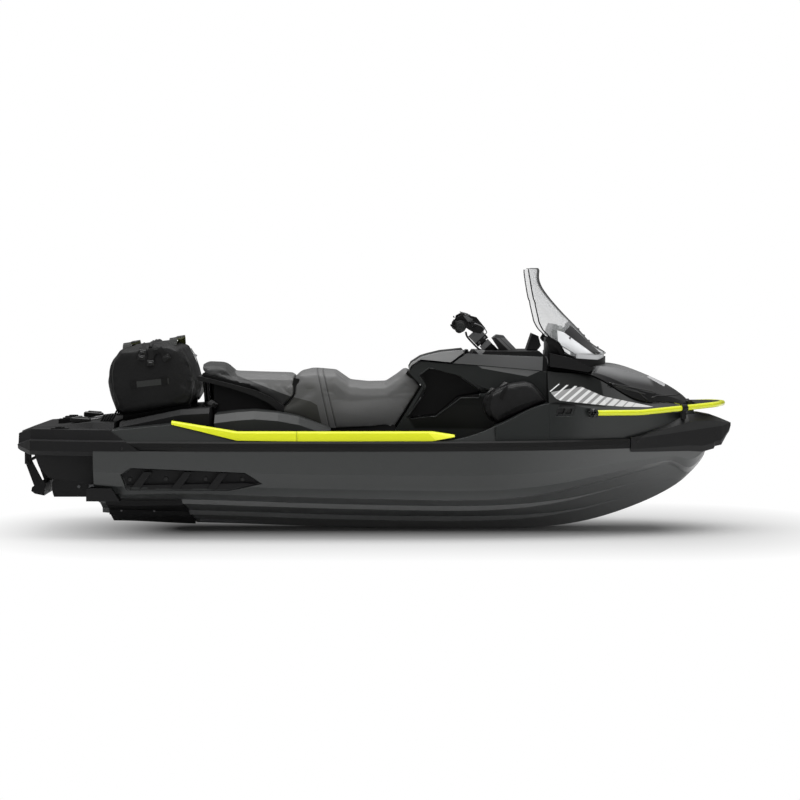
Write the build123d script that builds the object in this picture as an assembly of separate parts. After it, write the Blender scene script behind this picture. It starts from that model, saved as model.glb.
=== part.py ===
from build123d import *
import math
import os

# A three-seat touring personal watercraft: a stepped vee hull with a jet drive, a deck with
# footwells, a front lid with a tall windshield, a swim platform and soft luggage.
# +X points to the bow, +Y to port and +Z up.  The origin is on the waterline, on the centre
# plane, near mid length.  All sizes are millimetres.

# ---------------------------------------------------------------- driving dimensions
TRANSOM_X = -1400.0         # flat rear end of the hull moulding
STEM_X = 1700.0             # front end of the hull moulding
BOND_Z = 190.0              # joint of the hull and deck mouldings
DRAFT = 252.0               # keel below the waterline at mid length
BEAM_HALF = 625.0           # half breadth at the joint, at mid length
STRAKE_FLAT = 35.0          # flat underside of a lifting strake
STRAKE_STEP = 25.0          # height of a strake's outer step

FLANGE = 20.0               # how far the deck stands inboard of the hull's edge
RAIL_HEIGHT = 48.0          # rub rail
RAIL_PROUD = 12.0           # how far the rub rail stands outboard of the hull's edge
SIDE_LEAN = 0.30            # inward lean of the deck's sides, per unit of height
TRIM_WIDTH = 46.0           # bright footwell trim, across the gunwale
GUNWALE_WIDTH = 62.0        # footwell's outer wall, across its foot

PLATFORM_SEAM = [(-1311, 500), (-1311, 285), (-1240, 238), (-1167, 190), (-1167, 150)]
FOOTWELL_AFT_X = -700.0     # stern deck and gunwales meet here
FENDER_X = 600.0            # gunwales and front fenders meet here
FRONT_DECK_X = 870.0        # fenders and front deck meet here
FRONT_DECK_END_X = 1640.0
BUMPER_X = 1835.0           # tip of the bow bumper

PLATFORM_X = -1803.0        # rear end of the swim platform
PLATFORM_UNDER_Z = 164.0
PLATFORM_TOP_Z = 292.0

TUNNEL_HALF = 150.0         # jet tunnel in the stern
TUNNEL_FRONT_X = -980.0
TUNNEL_ROOF_Z = 90.0
PUMP_Z = -22.0              # axis of the jet pump
PUMP_BORE_R = 80.0
PUMP_WALL = 9.0
PUMP_FLANGE_R = 104.0
IMPELLER_R = 75.0
IMPELLER_X = -1110.0
IMPELLER_LENGTH = 78.0
SHAFT_R = 14.0
RUN_FIT = 0.05              # radial clearance of a pin or shaft in its bore
STATOR_REAR_X = -1330.0
VENTURI_X = STATOR_REAR_X - 102.0   # outlet of the fixed venturi
VENTURI_R = 38.0
VENTURI_WALL = 6.0
NOZZLE_PIVOT_X = VENTURI_X - 8.0
NOZZLE_LENGTH = 120.0
NOZZLE_R = 53.0
NOZZLE_WALL = 6.0
GATE_PIVOT_X = NOZZLE_PIVOT_X - 90.0
GATE_PIVOT_Z = -25.0
GATE_LOW_Z = -78.0          # lower edge of the gate's cheeks
GATE_R = 139.0              # radius of the reverse gate's rear wall about its pivot
GATE_INNER_Y = 116.0
GATE_WALL = 10.0
GATE_PIN_R = 8.0

ENGINE_SIZE = (600.0, 360.0, 320.0)
ENGINE_X = -40.0
BAY_FLOOR_Z = -140.0
BAY_MARGIN = 20.0

CONSOLE_TOP_Z = 676.0
CONSOLE_SKIN = 8.0
LID_GAP = 6.0               # running gap of the lids
HINGE_PIN_R = 3.0           # pins of the two lids
KNUCKLE_R = 7.0
KNUCKLE_HALF = 60.0
EAR_GAP = 2.0
EAR_WIDTH = 12.0
GLOVEBOX_HINGE = (470.0, 670.0)
FRONT_LID_HINGE = (1625.0, 412.0)
BIN_FLOOR_Z = 215.0
BIN_HALF = 200.0
BIN_AFT_X = 960.0
BIN_FORE_X = 1400.0

STEER_X = 590.0             # a point on the steering axis, where it leaves the console
STEER_Z = 680.0
STEER_RAKE = 43.0           # lean of the steering axis from the vertical, towards the stern
COLUMN_R = 19.0
COLLAR_TOP = 45.0           # height of the fixed collar round the steering column
RISER_START = COLLAR_TOP + 6.0      # height of the riser block on the column
BAR_R = 13.0
GRIP_R = 18.0
GRIP_END_Y = 400.0
GRIP_LENGTH = 125.0

GLASS_THICKNESS = 6.0
BOW_TUBE_R = 14.0
LADDER_HINGE = (-1782.0, 112.0)
LADDER_PIN_R = 8.0
LADDER_HALF = 190.0
SPONSON_FLOOR_Y = BEAM_HALF - 77.0
SOFT_GAP = 0.3              # soft pieces stand this far off what carries them


# ---------------------------------------------------------------- helpers
def curve(keys):
    """A smooth line through (x, value) keys, without overshoot."""
    xs = [k[0] for k in keys]
    vs = [k[1] for k in keys]
    slopes = [(vs[i + 1] - vs[i]) / (xs[i + 1] - xs[i]) for i in range(len(keys) - 1)]
    tangents = [slopes[0]]
    for a, b in zip(slopes, slopes[1:]):
        tangents.append(0.0 if a * b <= 0 else 2 * a * b / (a + b))
    tangents.append(slopes[-1])

    def value(x):
        if x <= xs[0]:
            return vs[0]
        if x >= xs[-1]:
            return vs[-1]
        i = max(j for j in range(len(xs) - 1) if xs[j] <= x)
        h = xs[i + 1] - xs[i]
        t = (x - xs[i]) / h
        return (vs[i] * (1 + 2 * t) * (1 - t) ** 2 + vs[i + 1] * t * t * (3 - 2 * t)
                + h * (tangents[i] * t * (1 - t) ** 2 - tangents[i + 1] * t * t * (1 - t)))

    return value


def line(keys):
    """Straight runs between (x, value) keys."""

    def value(x):
        if x <= keys[0][0]:
            return keys[0][1]
        for (x0, v0), (x1, v1) in zip(keys, keys[1:]):
            if x <= x1:
                return v0 + (v1 - v0) * (x - x0) / (x1 - x0)
        return keys[-1][1]

    return value


def breadth(keys):
    """A smooth half breadth through (x, share of the craft's half breadth) keys."""
    return curve([(x, share * BEAM_HALF) for x, share in keys])


def ring(x, half):
    """Closed section at one station, from its port half (y, z) points."""
    port = [(x, y, z) for y, z in half]
    starboard = [(x, -y, z) for y, z in reversed(half) if y > 0]
    return Wire.make_polygon(port + starboard, close=True)


def skin(stations, half, ruled=False):
    """Solid through the full sections that half(x) gives at the stations."""
    return Solid.make_loft([ring(x, half(x)) for x in stations], ruled)


def strip(stations, outline, ruled=False):
    """Solid on the port side through the (y, z) outlines that outline(x) gives."""
    wires = [Wire.make_polygon([(x, y, z) for y, z in outline(x)], close=True) for x in stations]
    return Solid.make_loft(wires, ruled)


def prism(points, y0, y1):
    """Side outline of (x, z) points, carried from y0 to y1."""
    face = Face(Wire.make_polygon([(x, y0, z) for x, z in points], close=True))
    return extrude(face, amount=y1 - y0, dir=(0, 1, 0))


def block(x0, x1, y0, y1, z0, z1):
    centre = Pos((x0 + x1) / 2, (y0 + y1) / 2, (z0 + z1) / 2)
    return centre * Box(x1 - x0, y1 - y0, z1 - z0)


def rod(start, end, radius):
    """Round bar between two points."""
    a, b = Vector(*start), Vector(*end)
    return Solid.make_cylinder(radius, (b - a).length, Plane(origin=a, z_dir=b - a))


def both_sides(shape):
    """The port piece and its starboard mirror image."""
    return Compound(list(shape.solids()) + list(mirror(shape, about=Plane.XZ).solids()))


# ---------------------------------------------------------------- lines of the hull
keel_z = curve([(TRANSOM_X, -205), (-600, -231), (125, -DRAFT), (650, -DRAFT), (960, -236),
                (1270, -158), (1520, -48), (1644, 51), (STEM_X, 152)])
bond_y = breadth([(TRANSOM_X, 0.96), (-900, 0.989), (-300, 1.0), (300, 0.979), (800, 0.864),
                  (1150, 0.688), (1400, 0.509), (1560, 0.365), (1660, 0.248), (STEM_X, 0.179)])
chine_y = breadth([(TRANSOM_X, 0.845), (-900, 0.864), (-300, 0.872), (300, 0.848),
                   (800, 0.723), (1150, 0.528), (1400, 0.355), (1505, 0.264), (1560, 0.168),
                   (1620, 0.083), (STEM_X, 0.048)])
chine_z = curve([(TRANSOM_X, -20), (-573, -36), (125, -58), (626, -60), (1139, 20), (1400, 80),
                 (1505, 98), (1560, 70), (1620, 44), (STEM_X, 160)])
strake_size = curve([(700, 1.0), (1300, 0.12), (STEM_X, 0.03)])

HULL_STATIONS = [TRANSOM_X, -1050, -700, -250, 200, 600, 900, 1130, 1320, 1440, 1520, 1580,
                 1640, STEM_X]


def hull_half(x):
    """Keel, two strakes, chine, two side creases and the joint flange at one station."""
    kz, cy = keel_z(x), chine_y(x)
    cz = max(chine_z(x), kz + 9)
    by = bond_y(x)
    flat, step = STRAKE_FLAT * strake_size(x), STRAKE_STEP * strake_size(x)
    inner_chine_y = 0.87 * cy
    inner_chine_z = cz - 0.04 * (cz - kz)
    y1, y2 = 0.35 * inner_chine_y, 0.70 * inner_chine_y
    nudge = 0.1 * flat
    run = y1 + (y2 - y1 - flat - nudge) + (inner_chine_y - y2 - flat - nudge)
    slope = (inner_chine_z - kz - 2 * step) / run
    z1 = kz + slope * y1
    z2 = z1 + step + slope * (y2 - y1 - flat - nudge)
    side = BOND_Z - cz
    return [(0, kz), (y1, z1), (y1 + flat, z1), (y1 + flat + nudge, z1 + step),
            (y2, z2), (y2 + flat, z2), (y2 + flat + nudge, z2 + step),
            (inner_chine_y, inner_chine_z), (cy, cz),
            (cy + 0.49 * (by - cy), cz + 0.20 * side),
            (cy + 0.84 * (by - cy), cz + 0.51 * side), (by, BOND_Z)]


def deck_y(x, z):
    """Outer face of the deck's side at a height above the joint."""
    return bond_y(x) - FLANGE - SIDE_LEAN * max(z - BOND_Z - RAIL_HEIGHT, 0) - 0.1 * (z - BOND_Z)


hull_outer = skin(HULL_STATIONS, hull_half)

# outline of the recess in the hull's side that holds a sponson
SPONSON = [(-1265, 72), (-1215, 107), (-644, 83), (-560, 27), (-720, -9), (-1237, -9)]


# ---------------------------------------------------------------- hull and jet drive
def intake_duct():
    """Water way from the intake in the bottom up to the pump."""
    return prism([(TUNNEL_FRONT_X - 1, PUMP_Z + PUMP_BORE_R), (TUNNEL_FRONT_X - 1, -DRAFT - 1),
                  (-560, -DRAFT - 1), (-620, -200), (-820, PUMP_Z + 32)],
                 -PUMP_BORE_R, PUMP_BORE_R)


def hull():
    length, width, _ = ENGINE_SIZE
    bay = block(ENGINE_X - length / 2 - BAY_MARGIN, ENGINE_X + length / 2 + BAY_MARGIN,
                -width / 2 - BAY_MARGIN, width / 2 + BAY_MARGIN, BAY_FLOOR_Z, BOND_Z + 1)
    tunnel = block(TRANSOM_X - 1, TUNNEL_FRONT_X, -TUNNEL_HALF, TUNNEL_HALF,
                   -DRAFT - 1, TUNNEL_ROOF_Z)
    duct = intake_duct()
    recess = prism(SPONSON, SPONSON_FLOOR_Y, BEAM_HALF + 50)
    body = hull_outer - bay - tunnel - duct
    return body - recess - mirror(recess, about=Plane.XZ)


def engine():
    length, width, height = ENGINE_SIZE
    return block(ENGINE_X - length / 2, ENGINE_X + length / 2, -width / 2, width / 2,
                 BAY_FLOOR_Z, BAY_FLOOR_Z + height)


def tube(x0, x1, outer, inner, z=PUMP_Z):
    """Round tube along X."""
    low, high = min(x0, x1), max(x0, x1)
    return rod((low, 0, z), (high, 0, z), outer) - rod((low - 1, 0, z), (high + 1, 0, z), inner)


def cone_tube(x0, r0, x1, r1, wall):
    """Tapered round tube along X, given by its inner radii."""
    plane = Plane(origin=(x0, 0, PUMP_Z), z_dir=(x1 - x0, 0, 0))
    length = abs(x1 - x0)
    return (Solid.make_cone(r0 + wall, r1 + wall, length, plane)
            - Solid.make_cone(r0, r1, length, plane))


STATOR_VANES = 7
VENTURI_STRAIGHT = 30.0     # straight end of the venturi, inside the swinging nozzle
STATOR_FRONT_X = IMPELLER_X - IMPELLER_LENGTH - 12
HUB_R = 34.0


def jet_pump():
    """Flanged housing with its stator vanes, hub, venturi and the reverse gate's arms."""
    outer = PUMP_BORE_R + PUMP_WALL
    shell = tube(TUNNEL_FRONT_X, STATOR_REAR_X, outer, PUMP_BORE_R)
    flange = tube(TUNNEL_FRONT_X, TUNNEL_FRONT_X - 14, PUMP_FLANGE_R, PUMP_BORE_R)
    rear_flange = tube(STATOR_REAR_X + 14, STATOR_REAR_X, PUMP_FLANGE_R, PUMP_BORE_R)
    cone_end = VENTURI_X + VENTURI_STRAIGHT
    venturi = cone_tube(STATOR_REAR_X, PUMP_BORE_R, cone_end, VENTURI_R, VENTURI_WALL)
    venturi += tube(cone_end + 1, VENTURI_X, VENTURI_R + VENTURI_WALL, VENTURI_R)
    hub = (rod((STATOR_FRONT_X, 0, PUMP_Z), (STATOR_REAR_X, 0, PUMP_Z), HUB_R)
           + Solid.make_cone(HUB_R, 8, 60, Plane(origin=(STATOR_REAR_X, 0, PUMP_Z), z_dir=(-1, 0, 0))))
    bore = rod((STATOR_FRONT_X + 1, 0, PUMP_Z), (STATOR_REAR_X + 40, 0, PUMP_Z), SHAFT_R + RUN_FIT)
    body = shell + flange + rear_flange + venturi + hub
    for i in range(STATOR_VANES):
        vane = block(STATOR_REAR_X + 6, STATOR_FRONT_X - 2, -3, 3, HUB_R - 2, PUMP_BORE_R + 2)
        body += Pos(0, 0, PUMP_Z) * Rot(360 * i / STATOR_VANES, 0, 0) * vane
    arm = block(GATE_PIVOT_X - 16, STATOR_REAR_X + 14, PUMP_FLANGE_R - 4, GATE_INNER_Y - 5,
                GATE_PIVOT_Z - 16, GATE_PIVOT_Z + 16)
    arm += block(STATOR_REAR_X, STATOR_REAR_X + 14, 50, GATE_INNER_Y - 5,
                 GATE_PIVOT_Z - 16, GATE_PIVOT_Z + 16)
    arm += rod((GATE_PIVOT_X, PUMP_FLANGE_R - 4, GATE_PIVOT_Z),
               (GATE_PIVOT_X, GATE_INNER_Y + GATE_WALL + 4, GATE_PIVOT_Z), GATE_PIN_R)
    body = body - bore + arm + mirror(arm, about=Plane.XZ)
    # pivot studs of the steering nozzle, above and below the venturi
    bracket = block(NOZZLE_PIVOT_X - 9, VENTURI_X + VENTURI_STRAIGHT, -9, 9, 0, VENTURI_WALL)
    for side in (1, -1):
        tip = PUMP_Z + side * (NOZZLE_R + NOZZLE_WALL + 4)
        lift = VENTURI_R if side > 0 else -VENTURI_R - VENTURI_WALL
        body += Pos(0, 0, PUMP_Z + lift) * bracket
        body += rod((NOZZLE_PIVOT_X, 0, PUMP_Z + side * (VENTURI_R + 2)),
                    (NOZZLE_PIVOT_X, 0, tip), GATE_PIN_R)
    return body


BLADES = 4


def impeller():
    """Shaft, tapered hub and twisted blades."""
    hub = Solid.make_cone(20, HUB_R - 2, IMPELLER_LENGTH,
                          Plane(origin=(IMPELLER_X, 0, PUMP_Z), z_dir=(-1, 0, 0)))
    shaft = rod((TUNNEL_FRONT_X + 90, 0, PUMP_Z), (STATOR_REAR_X + 50, 0, PUMP_Z), SHAFT_R)
    body = hub + shaft
    steps = 4
    for i in range(BLADES):
        sections = []
        for k in range(steps + 1):
            x = IMPELLER_X - 4 - (IMPELLER_LENGTH - 8) * k / steps
            turn = 360 * i / BLADES + 70 * k / steps
            plane = Plane(origin=(x, 0, PUMP_Z), x_dir=(0, 1, 0), z_dir=(-1, 0, 0))
            corners = [(15, -2.5), (IMPELLER_R, -1.5), (IMPELLER_R, 1.5), (15, 2.5)]
            a = math.radians(turn)
            points = [plane.from_local_coords((u * math.cos(a) - v * math.sin(a),
                                               u * math.sin(a) + v * math.cos(a), 0))
                      for u, v in corners]
            sections.append(Wire.make_polygon(points, close=True))
        body += Solid.make_loft(sections, False)
    return body


def steering_nozzle():
    """Tapered tube that swings about the studs of the venturi, with a tiller arm."""
    front = NOZZLE_PIVOT_X + 4
    length = NOZZLE_LENGTH + 4
    plane = Plane(origin=(front, 0, PUMP_Z), x_dir=(0, 1, 1), z_dir=(-1, 0, 0))
    body = Solid.make_cone(NOZZLE_R + NOZZLE_WALL, NOZZLE_R - 16 + NOZZLE_WALL, length, plane)
    body += block(NOZZLE_PIVOT_X - 30, NOZZLE_PIVOT_X - 14, NOZZLE_R - 2, NOZZLE_R + 24,
                  PUMP_Z - 6, PUMP_Z + 6)
    lug = NOZZLE_R + NOZZLE_WALL + 4
    body += rod((NOZZLE_PIVOT_X, 0, PUMP_Z - lug), (NOZZLE_PIVOT_X, 0, PUMP_Z + lug), 16)
    taper = 16 / length
    lead = 16                      # the bore runs on ahead past the round lugs
    bore_plane = Plane(origin=(front + lead, 0, PUMP_Z), x_dir=(0, 1, 1), z_dir=(-1, 0, 0))
    body -= Solid.make_cone(NOZZLE_R + lead * taper, NOZZLE_R - 16 - 2 * taper, length + lead + 2,
                            bore_plane)
    return body - rod((NOZZLE_PIVOT_X, 0, PUMP_Z - lug - 1), (NOZZLE_PIVOT_X, 0, PUMP_Z + lug + 1),
                      GATE_PIN_R + RUN_FIT)


def gate_point(angle, radius=GATE_R):
    """Point behind the gate's pivot, by its angle above the level."""
    a = math.radians(angle)
    return (GATE_PIVOT_X - radius * math.cos(a), 0, GATE_PIVOT_Z + radius * math.sin(a))


def gate_cheek():
    """Side outline of the reverse gate, round at the back about its pivot."""
    low = math.degrees(math.asin((GATE_LOW_Z - GATE_PIVOT_Z) / GATE_R))
    bottom, top = gate_point(low), gate_point(GATE_TOP_ANGLE)
    arc = ThreePointArc(top, gate_point(GATE_WALL_ANGLE), bottom)
    front = GATE_PIVOT_X + 47
    rest = Polyline(bottom, (front, 0, GATE_LOW_Z), (front, 0, GATE_PIVOT_Z + 60), top)
    return make_face([arc, rest])


GATE_WALL_ANGLE = 22.0      # the back wall runs between these angles, above the water jet
GATE_TOP_ANGLE = 66.0


def reverse_gate():
    """Two cheeks on the pivots, with a curved back wall that drops into the jet."""
    side = Pos(0, GATE_INNER_Y, 0) * extrude(gate_cheek(), amount=GATE_WALL, dir=(0, 1, 0))
    side -= rod((GATE_PIVOT_X, GATE_INNER_Y - 1, GATE_PIVOT_Z),
                (GATE_PIVOT_X, GATE_INNER_Y + GATE_WALL + 1, GATE_PIVOT_Z), GATE_PIN_R + RUN_FIT)
    middle = (GATE_WALL_ANGLE + GATE_TOP_ANGLE) / 2
    inner = GATE_R - GATE_WALL
    outer_arc = ThreePointArc(gate_point(GATE_WALL_ANGLE), gate_point(middle),
                              gate_point(GATE_TOP_ANGLE))
    inner_arc = ThreePointArc(gate_point(GATE_TOP_ANGLE, inner), gate_point(middle, inner),
                              gate_point(GATE_WALL_ANGLE, inner))
    profile = make_face([outer_arc, Line(outer_arc @ 1, inner_arc @ 0), inner_arc,
                         Line(inner_arc @ 1, outer_arc @ 0)])
    back = extrude(profile, amount=2 * GATE_INNER_Y + 2, dir=(0, 1, 0))
    back = Pos(0, -GATE_INNER_Y - 1, 0) * back
    return side + mirror(side, about=Plane.XZ) + back


def bottom_slab(x0, x1, half, drop):
    """Skin of even depth under the hull's bottom, within a box."""
    region = block(x0, x1, -half, half, -DRAFT - 60, 0)
    return (Pos(0, 0, -drop) * hull_outer & region) - hull_outer


def ride_plate():
    plate = bottom_slab(-1365, -940, 372, 8)
    return plate & prism([(-1365, -60), (-1365, -300), (-905, -300), (-985, -60)], -380, 380)


def intake_grate():
    """Curved bars across the water intake, level with the hull's bottom."""
    region = block(-935, -575, -PUMP_BORE_R, PUMP_BORE_R, -DRAFT - 5, -100)
    slab = (hull_outer & region) - (Pos(0, 0, 14) * hull_outer)
    gap = 18.0
    for i in range(-3, 3):
        y = (i + 0.5) * (2 * PUMP_BORE_R - 16) / 6
        slab -= block(-915, -595, y - gap / 2, y + gap / 2, -DRAFT - 30, -90)
    return slab & intake_duct()


def transom_corners():
    piece = prism([(-1437, -4), (-1437, -62), (-1270, -63), (-1312, 3), (-1420, 4)],
                  0.752 * BEAM_HALF, 0.922 * BEAM_HALF)
    return both_sides(piece - hull_outer)


def sponsons():
    """Black side fins in their recesses: back plate, fin and three slanted struts."""
    floor = SPONSON_FLOOR_Y
    inset = [(-1256, 70), (-1211, 100), (-648, 77), (-576, 30), (-722, -2), (-1230, -2)]
    piece = prism(inset, floor, floor + 12)
    fin = [(-1240, 18), (-640, 30), (-590, 24), (-722, -2), (-1230, -2)]
    piece += prism(fin, floor + 10, floor + 34)
    for x in (-1170, -970, -790):
        piece += prism([(x - 45, 0), (x, 0), (x + 62, 86), (x + 22, 86)], floor + 10, floor + 44)
    return both_sides(piece & prism(inset, floor, floor + 60))


# ---------------------------------------------------------------- deck mouldings
fairing_z = line([(-1315, 290), (-1278, 292), (-1000, 321), (-672, 242),
                  (FOOTWELL_AFT_X + 30, 240)])
gunwale_z = curve([(FOOTWELL_AFT_X, 249), (-670, 241), (383, 243), (FENDER_X, 310),
                   (865, 419), (926, 423), (1013, 412), (1130, 384), (1391, 376),
                   (1605, 352), (FRONT_DECK_END_X, 345)])
crease_y = breadth([(FENDER_X, 0.872), (865, 0.771), (1013, 0.723), (1130, 0.672),
                    (1391, 0.488), (1605, 0.248), (FRONT_DECK_END_X, 0.200)])
panel_z = curve([(FRONT_DECK_X, 577), (1089, 552), (1242, 470), (1346, 419), (1496, 405),
                 (FRONT_DECK_END_X, 385)])
panel_y = breadth([(FRONT_DECK_X, 0.528), (1089, 0.480), (1242, 0.448), (1346, 0.400),
                   (1496, 0.288), (FRONT_DECK_END_X, 0.112)])


def hinge_ears(hinge, foot_z):
    """Two ears and the pin between them that carry a lid's knuckle."""
    x, z = hinge
    inner = KNUCKLE_HALF + EAR_GAP
    ear = block(x - 8, x + 8, inner, inner + EAR_WIDTH, foot_z, z + 8)
    pin = rod((x, -inner - 2, z), (x, inner + 2, z), HINGE_PIN_R)
    return ear + mirror(ear, about=Plane.XZ) + pin


def hinge_knuckle(hinge, strap_x):
    """Knuckle that turns on the pin, with the strap that joins it to its lid."""
    x, z = hinge
    low, high = sorted((x, strap_x))
    body = rod((x, -KNUCKLE_HALF, z), (x, KNUCKLE_HALF, z), KNUCKLE_R)
    return body + block(low, high, -KNUCKLE_HALF, KNUCKLE_HALF, z - 2, z + 5)


def hinge_way(hinge):
    x, z = hinge
    return rod((x, -KNUCKLE_HALF - 1, z), (x, KNUCKLE_HALF + 1, z), HINGE_PIN_R + RUN_FIT)


def ahead_of_platform():
    """Space in front of the slanted seam between the platform and the deck."""
    return prism([(0, 150), (0, 500)] + PLATFORM_SEAM, -BEAM_HALF - 60, BEAM_HALF + 60)


def side_foot(x):
    """Lowest two points of the deck's side, behind the rub rail."""
    top = BOND_Z + RAIL_HEIGHT
    return [(deck_y(x, BOND_Z), BOND_Z), (deck_y(x, top), top)]


def stern_deck():
    def half(x):
        z = fairing_z(x)
        y = deck_y(x, z)
        return [(0, BOND_Z)] + side_foot(x) + [(y, z), (y - 60, z + 3), (0, z + 3)]

    body = skin([-1315, -1150, -1000, -850, FOOTWELL_AFT_X], half, True)
    return body & ahead_of_platform()


def gunwales():
    def outline(x):
        z = gunwale_z(x)
        y = deck_y(x, z)
        foot = deck_y(x, BOND_Z)
        return side_foot(x) + [(y, z), (y - TRIM_WIDTH, z), (foot - GUNWALE_WIDTH, BOND_Z)]

    return both_sides(strip([FOOTWELL_AFT_X, -400, 0, 383, 490, FENDER_X], outline))


def fenders(console):
    """Front ends of the footwells, with the shelf under each saddle bag."""

    def outline(x):
        z = gunwale_z(x)
        return side_foot(x) + [(crease_y(x), z), (200, z), (200, BOND_Z)]

    piece = strip([FENDER_X, 700, 790, FRONT_DECK_X], outline)
    return both_sides(piece - console)


def front_deck_outer():
    def half(x):
        return ([(0, BOND_Z)] + side_foot(x)
                + [(crease_y(x), gunwale_z(x)), (panel_y(x), panel_z(x)), (0, panel_z(x))])

    return skin([FRONT_DECK_X, 960, 1080, 1200, 1320, 1450, 1560, FRONT_DECK_END_X], half)


def front_deck(outer):
    """Front deck with its storage bin and a slotted air vent in each side."""
    body = outer - block(BIN_AFT_X, BIN_FORE_X, -BIN_HALF, BIN_HALF, BIN_FLOOR_Z, 700)
    face_y = crease_y(950)
    vent = prism([(903, 358), (922, 404), (1003, 404), (993, 358)], face_y - 16, BEAM_HALF)
    for x in (916, 954):
        vent += prism([(x, 368), (x + 11, 394), (x + 37, 394), (x + 27, 368)],
                      face_y - 40, BEAM_HALF)
    body = body - vent - mirror(vent, about=Plane.XZ)
    return body + hinge_ears(FRONT_LID_HINGE, 370)


def footwell_mats(console, pedestal, covers):
    def outline(x):
        y = bond_y(x) - FLANGE - GUNWALE_WIDTH - 4
        return [(160, BOND_Z), (160, BOND_Z + 6), (y, BOND_Z + 6), (y, BOND_Z)]

    piece = strip([-560, -200, 150, 400, 590], outline, True)
    return both_sides(piece - console - pedestal - covers)


def rub_rails(deck):
    def outline(x):
        y = bond_y(x)
        top = BOND_Z + RAIL_HEIGHT
        return [(y - 50, BOND_Z), (y + RAIL_PROUD - 8, BOND_Z), (y + RAIL_PROUD - 3, BOND_Z + 18),
                (y + RAIL_PROUD, BOND_Z + 20), (y + RAIL_PROUD, top - 8),
                (y + RAIL_PROUD - 10, top), (y - 50, top)]

    piece = strip([-1250, -900, -500, -100, 300, 650, 950, 1150, 1285], outline)
    for solid in deck:
        piece -= solid
    return both_sides(Compound([max(piece.solids(), key=lambda s: s.volume)]))


def footwell_trims(deck):
    """Bright trim along each gunwale, which climbs onto the stern fairing at its rear end."""
    top_z = line([(-1013, 337), (-685, 285), (285, 285), (397, 268)])
    low_z = line([(-1013, 322), (-1000, 321), (-672, 241), (285, 241), (397, 261)])

    def outline(x):
        top, low = top_z(x), low_z(x)
        return [(deck_y(x, low) - TRIM_WIDTH + 4, low - 8), (deck_y(x, low) + 7, low - 2),
                (deck_y(x, top) + 7, top - 7), (deck_y(x, top) - 2, top),
                (deck_y(x, top) - TRIM_WIDTH, top)]

    piece = strip([-1013, -860, -685, -400, -100, 200, 285, 397], outline, True)
    for solid in deck:
        piece -= solid
    return both_sides(Compound([max(piece.solids(), key=lambda s: s.volume)]))


# ---------------------------------------------------------------- pedestal, console, seats
PEDESTAL = [(-832, 190), (-832, 505), (-640, 455), (-500, 380), (-400, 395), (70, 395),
            (104, 278), (60, 190)]
pedestal_half = line([(-832, 150), (-400, 165), (104, 150)])
CONSOLE = [(60, 190), (104, 278), (238, 494), (168, 566), (186, 592), (232, 622), (380, 610),
           (549, 600), (FRONT_DECK_X, 574), (FRONT_DECK_X, 190)]
console_low_y = line([(60, 190), (300, 215), (FENDER_X, 260), (FRONT_DECK_X, 300)])
console_top_y = line([(60, 120), (186, 145), (300, 170), (FENDER_X, 225), (FRONT_DECK_X, 262)])


def pedestal(stern_solid):
    def half(x):
        y = pedestal_half(x)
        return [(0, BOND_Z), (y + 35, BOND_Z), (y, 400), (y - 20, 540), (0, 540)]

    body = skin([-832, -400, 104], half, True)
    return (body & prism(PEDESTAL, -400, 400)) - stern_solid


def console_body(grow=0.0):
    """Tapered block that the console pieces are cut from."""

    def half(x):
        low, top = console_low_y(x) + grow, console_top_y(x) + grow
        return [(0, BOND_Z), (low, BOND_Z), (low - 8, 400), (top, 690), (0, 690)]

    return skin([60, 186, 300, FENDER_X, FRONT_DECK_X], half, True)


KNEE_RECESS = [(176, 330), (310, 346), (420, 440), (598, 469), (429, 550), (276, 588),
               (238, 552), (262, 490)]
KNEE_RECESS_Y = 125.0
GLOVE_BOX = (230.0, 425.0, 105.0, 480.0)


def console():
    body = console_body() & prism(CONSOLE, -400, 400)
    for side in (1, -1):
        body -= prism(KNEE_RECESS, *sorted((side * KNEE_RECESS_Y, side * 400)))
    x0, x1, half, floor = GLOVE_BOX
    return body - block(x0, x1, -half, half, floor, 700)


def glovebox_lid():
    """Shallow dished lid over the glove box, hinged at its front edge."""
    outer = console_body(CONSOLE_SKIN) & prism(
        [(170, 580), (184, 602), (230, 632), (384, 618), (450, 668), (447, 682), (332, 671),
         (268, 656), (228, 644), (180, 613), (168, 590)], -400, 400)
    x0, x1, half, _ = GLOVE_BOX
    hollow = prism([(250, 600), (372, 600), (430, 668), (332, 660), (268, 645), (250, 638)],
                   -half - 15, half + 15)
    lid = outer - hollow
    return lid + hinge_knuckle(GLOVEBOX_HINGE, 440) - hinge_way(GLOVEBOX_HINGE)


CAP_LINE = [(392, 614), (549, 600), (FRONT_DECK_X, 574), (FRONT_DECK_X, 640), (845, 668),
            (835, CONSOLE_TOP_Z), (500, CONSOLE_TOP_Z), (486, 656), (452, 656)]


def steering_axis():
    lean = math.radians(STEER_RAKE)
    return Vector(-math.sin(lean), 0, math.cos(lean))


def along_steering(t):
    return Vector(STEER_X, 0, STEER_Z) + steering_axis() * t


def steering_plane(t):
    """Plane across the steering axis, with its own X in the plane of the rake."""
    lean = math.radians(-STEER_RAKE)
    return Plane(origin=along_steering(t), x_dir=(math.cos(lean), 0, -math.sin(lean)),
                 z_dir=steering_axis())


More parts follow.
